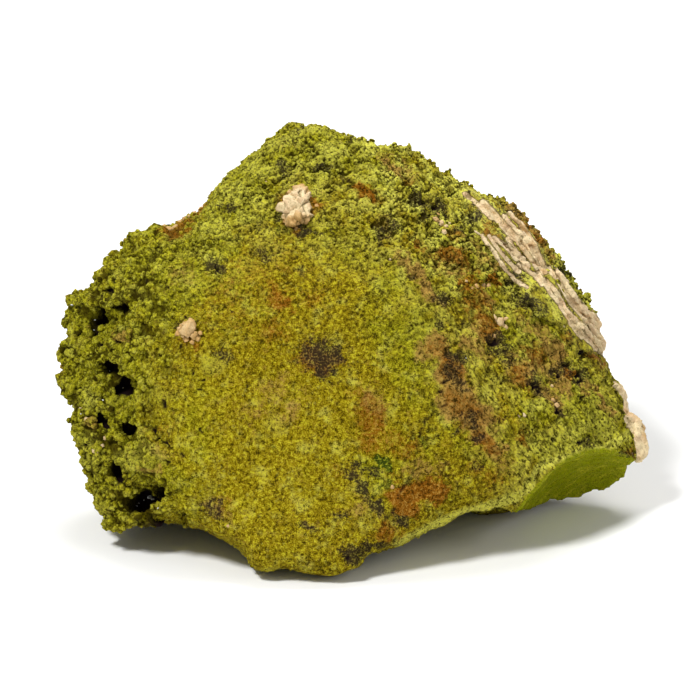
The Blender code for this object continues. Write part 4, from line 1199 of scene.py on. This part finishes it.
def spread(points, wanted, gap, seed):
    """Picks some of the wanted points, none closer to another than the gap in mm."""
    around = [(x, y, z) for x in (-1, 0, 1) for y in (-1, 0, 1) for z in (-1, 0, 1)]
    taken = {}
    chosen = []
    for index in np.random.default_rng(seed).permutation(np.flatnonzero(wanted)):
        point = points[index]
        x, y, z = (int(value // gap) for value in point)
        near = [taken[x + a, y + b, z + c] for a, b, c in around if (x + a, y + b, z + c) in taken]
        if all(np.linalg.norm(point - other) >= gap for other in near):
            taken[x, y, z] = point
            chosen.append(index)
    return chosen


def copies(mesh, count):
    """A mesh of that many copies of another, one after the other."""
    carrier = bpy.data.objects.new("copies", mesh)
    bpy.context.scene.collection.objects.link(carrier)
    array = carrier.modifiers.new("copies", "ARRAY")
    array.count = count
    array.relative_offset_displace = (0.0, 0.0, 0.0)
    bpy.context.view_layer.update()
    graph = bpy.context.evaluated_depsgraph_get()
    many = bpy.data.meshes.new_from_object(carrier.evaluated_get(graph))
    bpy.data.objects.remove(carrier)
    bpy.data.meshes.remove(mesh)
    return many


def dress_grapes(mask, least, gap, radii, sunk, crown_highlight, seed):
    """Round grains of clay crowded on the lump where a painted mask is strong."""
    lump = bpy.data.objects["granular_lump"].data
    points = places_of(lump)
    normals = normals_of(lump)
    values = {name: painted_on(lump, name) for name in (mask, *CLAY_PAINTS)}
    ragged = values[mask] + 0.3 * roughness_at(points, 2.4, seed)
    wanted = (ragged > least) & (values["void"] < 0.5) & (points[:, 2] > LOWEST_GRAIN)
    wanted &= (values["fracture"] < 0.05) & (values["shade"] < 0.3)
    chosen = spread(points, wanted, gap, seed)
    dice = np.random.default_rng(seed)
    bm = bmesh.new()
    bmesh.ops.create_icosphere(bm, subdivisions=1, radius=1.0)
    grain = np.array([vert.co for vert in bm.verts])
    mesh = copies(mesh_from(bm, mask), len(chosen))
    ways = normals[chosen]
    sides = np.cross(ways, dice.normal(size=ways.shape))
    sides /= np.linalg.norm(sides, axis=1)[:, None]
    turns = np.stack([sides, np.cross(ways, sides), ways], axis=1)
    sizes = dice.uniform(*radii, len(chosen))[:, None] * dice.uniform(0.7, 1.3, (len(chosen), 3))
    seats = points[chosen] - ways * (sizes[:, 2:] * sunk)
    local = grain[None] * sizes[:, None]
    knobbly = (seats[:, None] + local @ turns).reshape(-1, 3)
    knob = 1.0 + 0.24 * roughness_at(knobbly, radii[1], seed + 3.3)
    local = local * knob.reshape(len(chosen), -1, 1)
    put_back(mesh, (seats[:, None] + local @ turns).reshape(-1, 3))
    rise = (local[..., 2] / sizes[:, None, 2]).ravel()
    # Painted highlight on the crowns of the grains.
    highlighted = np.repeat(dice.uniform(0.0, crown_highlight, len(chosen)), len(grain)) * ease((rise - 0.35) / 0.5)
    for name in CLAY_PAINTS[1:]:
        painted = np.repeat(values[name][chosen], len(grain))
        paint(mesh, name, np.maximum(painted, highlighted) if name == "pale" else painted)
    # Painted shade on the lower sides of each grain, where it sits on the rock.
    paint(mesh, "seam_shade", ease((0.55 - rise) / 0.75))
    return mesh


def add_lump(bm, place, way, radius, seed):
    """Adds one knobbly lump, half sunk in the rock."""
    flat = 0.6
    shape = bmesh.ops.create_icosphere(bm, subdivisions=3, radius=1.0)
    for vert in shape["verts"]:
        knob = 1.0 + 0.42 * noise.noise(vert.co * 1.7 + Vector((seed, seed * 3.1, 0)))
        out = vert.co * knob * radius
        vert.co = place + out - way * out.dot(way) * (1.0 - flat)
    return shape["verts"]


def dress_crumbs(eye):
    """The small cream and amber lumps that stick to the face."""
    tree = ground_tree()
    bm = bmesh.new()
    browns = bm.verts.layers.float.new("brown")
    for seed, (x, y, radius, brown) in enumerate(CRUMBS):
        place, way = seat(tree, eye, (x, y))
        for vert in add_lump(bm, place, way, radius * MM, seed * 1.37):
            vert[browns] = min(brown + 0.3, 1.0)
    mesh = mesh_from(bm, "crumbs")
    points = places_of(mesh)
    put_back(mesh, points)
    carry_paint(mesh)
    paint(mesh, "bare", np.zeros(len(points)))
    paint(mesh, "crease", 0.5 * ease(roughness_at(points, 0.6, 11.7)))
    return mesh


def dress_crystals(eye):
    """Small quartz grains, each held up at the mouth of its void."""
    mouth_height = 0.6 * MM
    tree = ground_tree()
    bm = bmesh.new()
    for seed, (x, y, size) in enumerate(CRYSTALS):
        place, way = seat(tree, eye, (x, y))
        tilt = noise.noise_vector(Vector((seed * 1.7, 2.3, 0.4))) * 0.8
        turn = (way + tilt).normalized().to_track_quat("Z", "Y").to_matrix().to_4x4()
        mouth = place + Vector(eye.back) * mouth_height
        where = Matrix.Translation(mouth) @ turn @ Matrix.Scale(size * MM, 4)
        trunk = {"cap_ends": True, "segments": 6, "radius1": 0.55, "radius2": 0.5, "depth": 1.4}
        bmesh.ops.create_cone(bm, matrix=where, **trunk)
        tip = {"cap_ends": True, "segments": 6, "radius1": 0.52, "radius2": 0.05, "depth": 0.5}
        bmesh.ops.create_cone(bm, matrix=where @ Matrix.Translation((0, 0, 0.93)), **tip)
    mesh = mesh_from(bm, "crystals")
    put_back(mesh, places_of(mesh))
    return mesh


class NONTRONITE_OT_stage(bpy.types.Operator):
    """Adds the pale floor, the soft studio lights and the camera"""
    bl_idname = "nontronite.stage"
    bl_label = "Stage"

    def execute(self, context):
        look = context.scene.nontronite_stage
        bm = bmesh.new()
        bmesh.ops.create_grid(bm, x_segments=1, y_segments=1, size=FLOOR_REACH)
        floor = bpy.data.objects.new("floor", mesh_from(bm, "floor"))
        floor.data.materials.append(floor_finish(look.floor))
        context.scene.collection.objects.link(floor)
        for name, place, side, power in LIGHTS:
            data = bpy.data.lights.new(name, "AREA")
            data.size = side
            data.energy = power
            light = bpy.data.objects.new(name, data)
            light.location = place
            towards = Vector(look.aim) - Vector(place)
            light.rotation_euler = towards.to_track_quat("-Z", "Y").to_euler()
            context.scene.collection.objects.link(light)
        world = bpy.data.worlds.new("white surroundings")
        world.use_nodes = True
        world.node_tree.nodes["Background"].inputs["Color"].default_value = (1.0, 1.0, 1.0, 1.0)
        world.node_tree.nodes["Background"].inputs["Strength"].default_value = look.daylight
        context.scene.world = world
        context.scene.view_settings.view_transform = "Standard"
        eye = Eye(look)
        data = bpy.data.cameras.new("camera")
        data.lens = look.lens
        data.sensor_width = SENSOR
        camera = bpy.data.objects.new("camera", data)
        camera.location = eye.place * MM
        camera.rotation_euler = Vector(eye.back).to_track_quat("Z", "Y").to_euler()
        context.scene.collection.objects.link(camera)
        context.scene.camera = camera
        return {"FINISHED"}


class NONTRONITE_OT_lump(bpy.types.Operator):
    """Dresses the lump with its nodules, voids, ridges, grain and stains"""
    bl_idname = "nontronite.lump"
    bl_label = "Lump"

    def execute(self, context):
        look = context.scene.nontronite_lump
        mesh = dress_lump(look, Eye(context.scene.nontronite_stage))
        add_piece("granular_lump", mesh, clay_finish(look), "nontronite_lump", "nontronite_lump")
        return {"FINISHED"}


class NONTRONITE_OT_grapes(bpy.types.Operator):
    """Crowds the left flank with nodules and the top with crumbs"""
    bl_idname = "nontronite.grapes"
    bl_label = "Flank Nodules and Top Crumbs"

    def execute(self, context):
        finish = bpy.data.materials["nontronite clay"]
        for name, *grains in CROWDED_GRAINS:
            add_piece(name, dress_grapes(*grains), finish, "nontronite_lump")
        return {"FINISHED"}


class NONTRONITE_OT_crust(bpy.types.Operator):
    """Drapes the ribbed crust over the right shoulder"""
    bl_idname = "nontronite.crust"
    bl_label = "Crust"

    def execute(self, context):
        look = context.scene.nontronite_cream
        mesh = dress_crust(look, Eye(context.scene.nontronite_stage))
        finish = cream_finish(look, context.scene.nontronite_lump, "ribbed chalcedony")
        add_piece("ribbed_crust", mesh, finish, "chalcedony_crust", "chalcedony_crust")
        return {"FINISHED"}


class NONTRONITE_OT_nodules(bpy.types.Operator):
    """Folds the two pale nodules of the face"""
    bl_idname = "nontronite.nodules"
    bl_label = "Nodules"

    def execute(self, context):
        look = context.scene.nontronite_cream
        finish = cream_finish(look, context.scene.nontronite_lump, "folded chalcedony")
        for node, browned, height in (("upper_nodule", 0.2, 3.0), ("left_nodule", 0.6, 1.0)):
            mesh = dress_nodule(node, look, browned, height)
            add_piece(f"folded_{node}", mesh, finish, node, node)
        return {"FINISHED"}


class NONTRONITE_OT_crumbs(bpy.types.Operator):
    """Sticks small cream lumps and quartz grains to the face"""
    bl_idname = "nontronite.crumbs"
    bl_label = "Crumbs and Crystals"

    def execute(self, context):
        look = context.scene.nontronite_cream
        eye = Eye(context.scene.nontronite_stage)
        finish = cream_finish(look, context.scene.nontronite_lump, "chalcedony crumbs")
        add_piece("cream_crumbs", dress_crumbs(eye), finish, "chalcedony_crust")
        add_piece("void_crystals", dress_crystals(eye), crystal_finish(), "chalcedony_crust")
        return {"FINISHED"}


OPERATORS = (NONTRONITE_OT_stage, NONTRONITE_OT_lump, NONTRONITE_OT_grapes, NONTRONITE_OT_crust,
             NONTRONITE_OT_nodules, NONTRONITE_OT_crumbs)
LOOKS = {"nontronite_stage": StageLook, "nontronite_lump": LumpLook, "nontronite_cream": CreamLook}


class NONTRONITE_PT_specimen(bpy.types.Panel):
    """Builds the specimen piece by piece"""
    bl_label = "Nontronite Specimen"
    bl_space_type = "VIEW_3D"
    bl_region_type = "UI"
    bl_category = "Nontronite"

    def draw(self, context):
        for operator in OPERATORS:
            self.layout.operator(operator.bl_idname)
        for name, group in LOOKS.items():
            box = self.layout.box()
            for value in group.__annotations__:
                box.prop(getattr(context.scene, name), value)


CLASSES = (*LOOKS.values(), *OPERATORS, NONTRONITE_PT_specimen)


def register():
    for cls in CLASSES:
        bpy.utils.register_class(cls)
    for name, group in LOOKS.items():
        setattr(bpy.types.Scene, name, PointerProperty(type=group))


def unregister():
    for name in LOOKS:
        delattr(bpy.types.Scene, name)
    for cls in reversed(CLASSES):
        bpy.utils.unregister_class(cls)


def main():
    register()
    bpy.ops.nontronite.stage()
    bpy.ops.nontronite.lump()
    bpy.ops.nontronite.grapes()
    bpy.ops.nontronite.crust()
    bpy.ops.nontronite.nodules()
    bpy.ops.nontronite.crumbs()


if __name__ == "__main__":
    main()
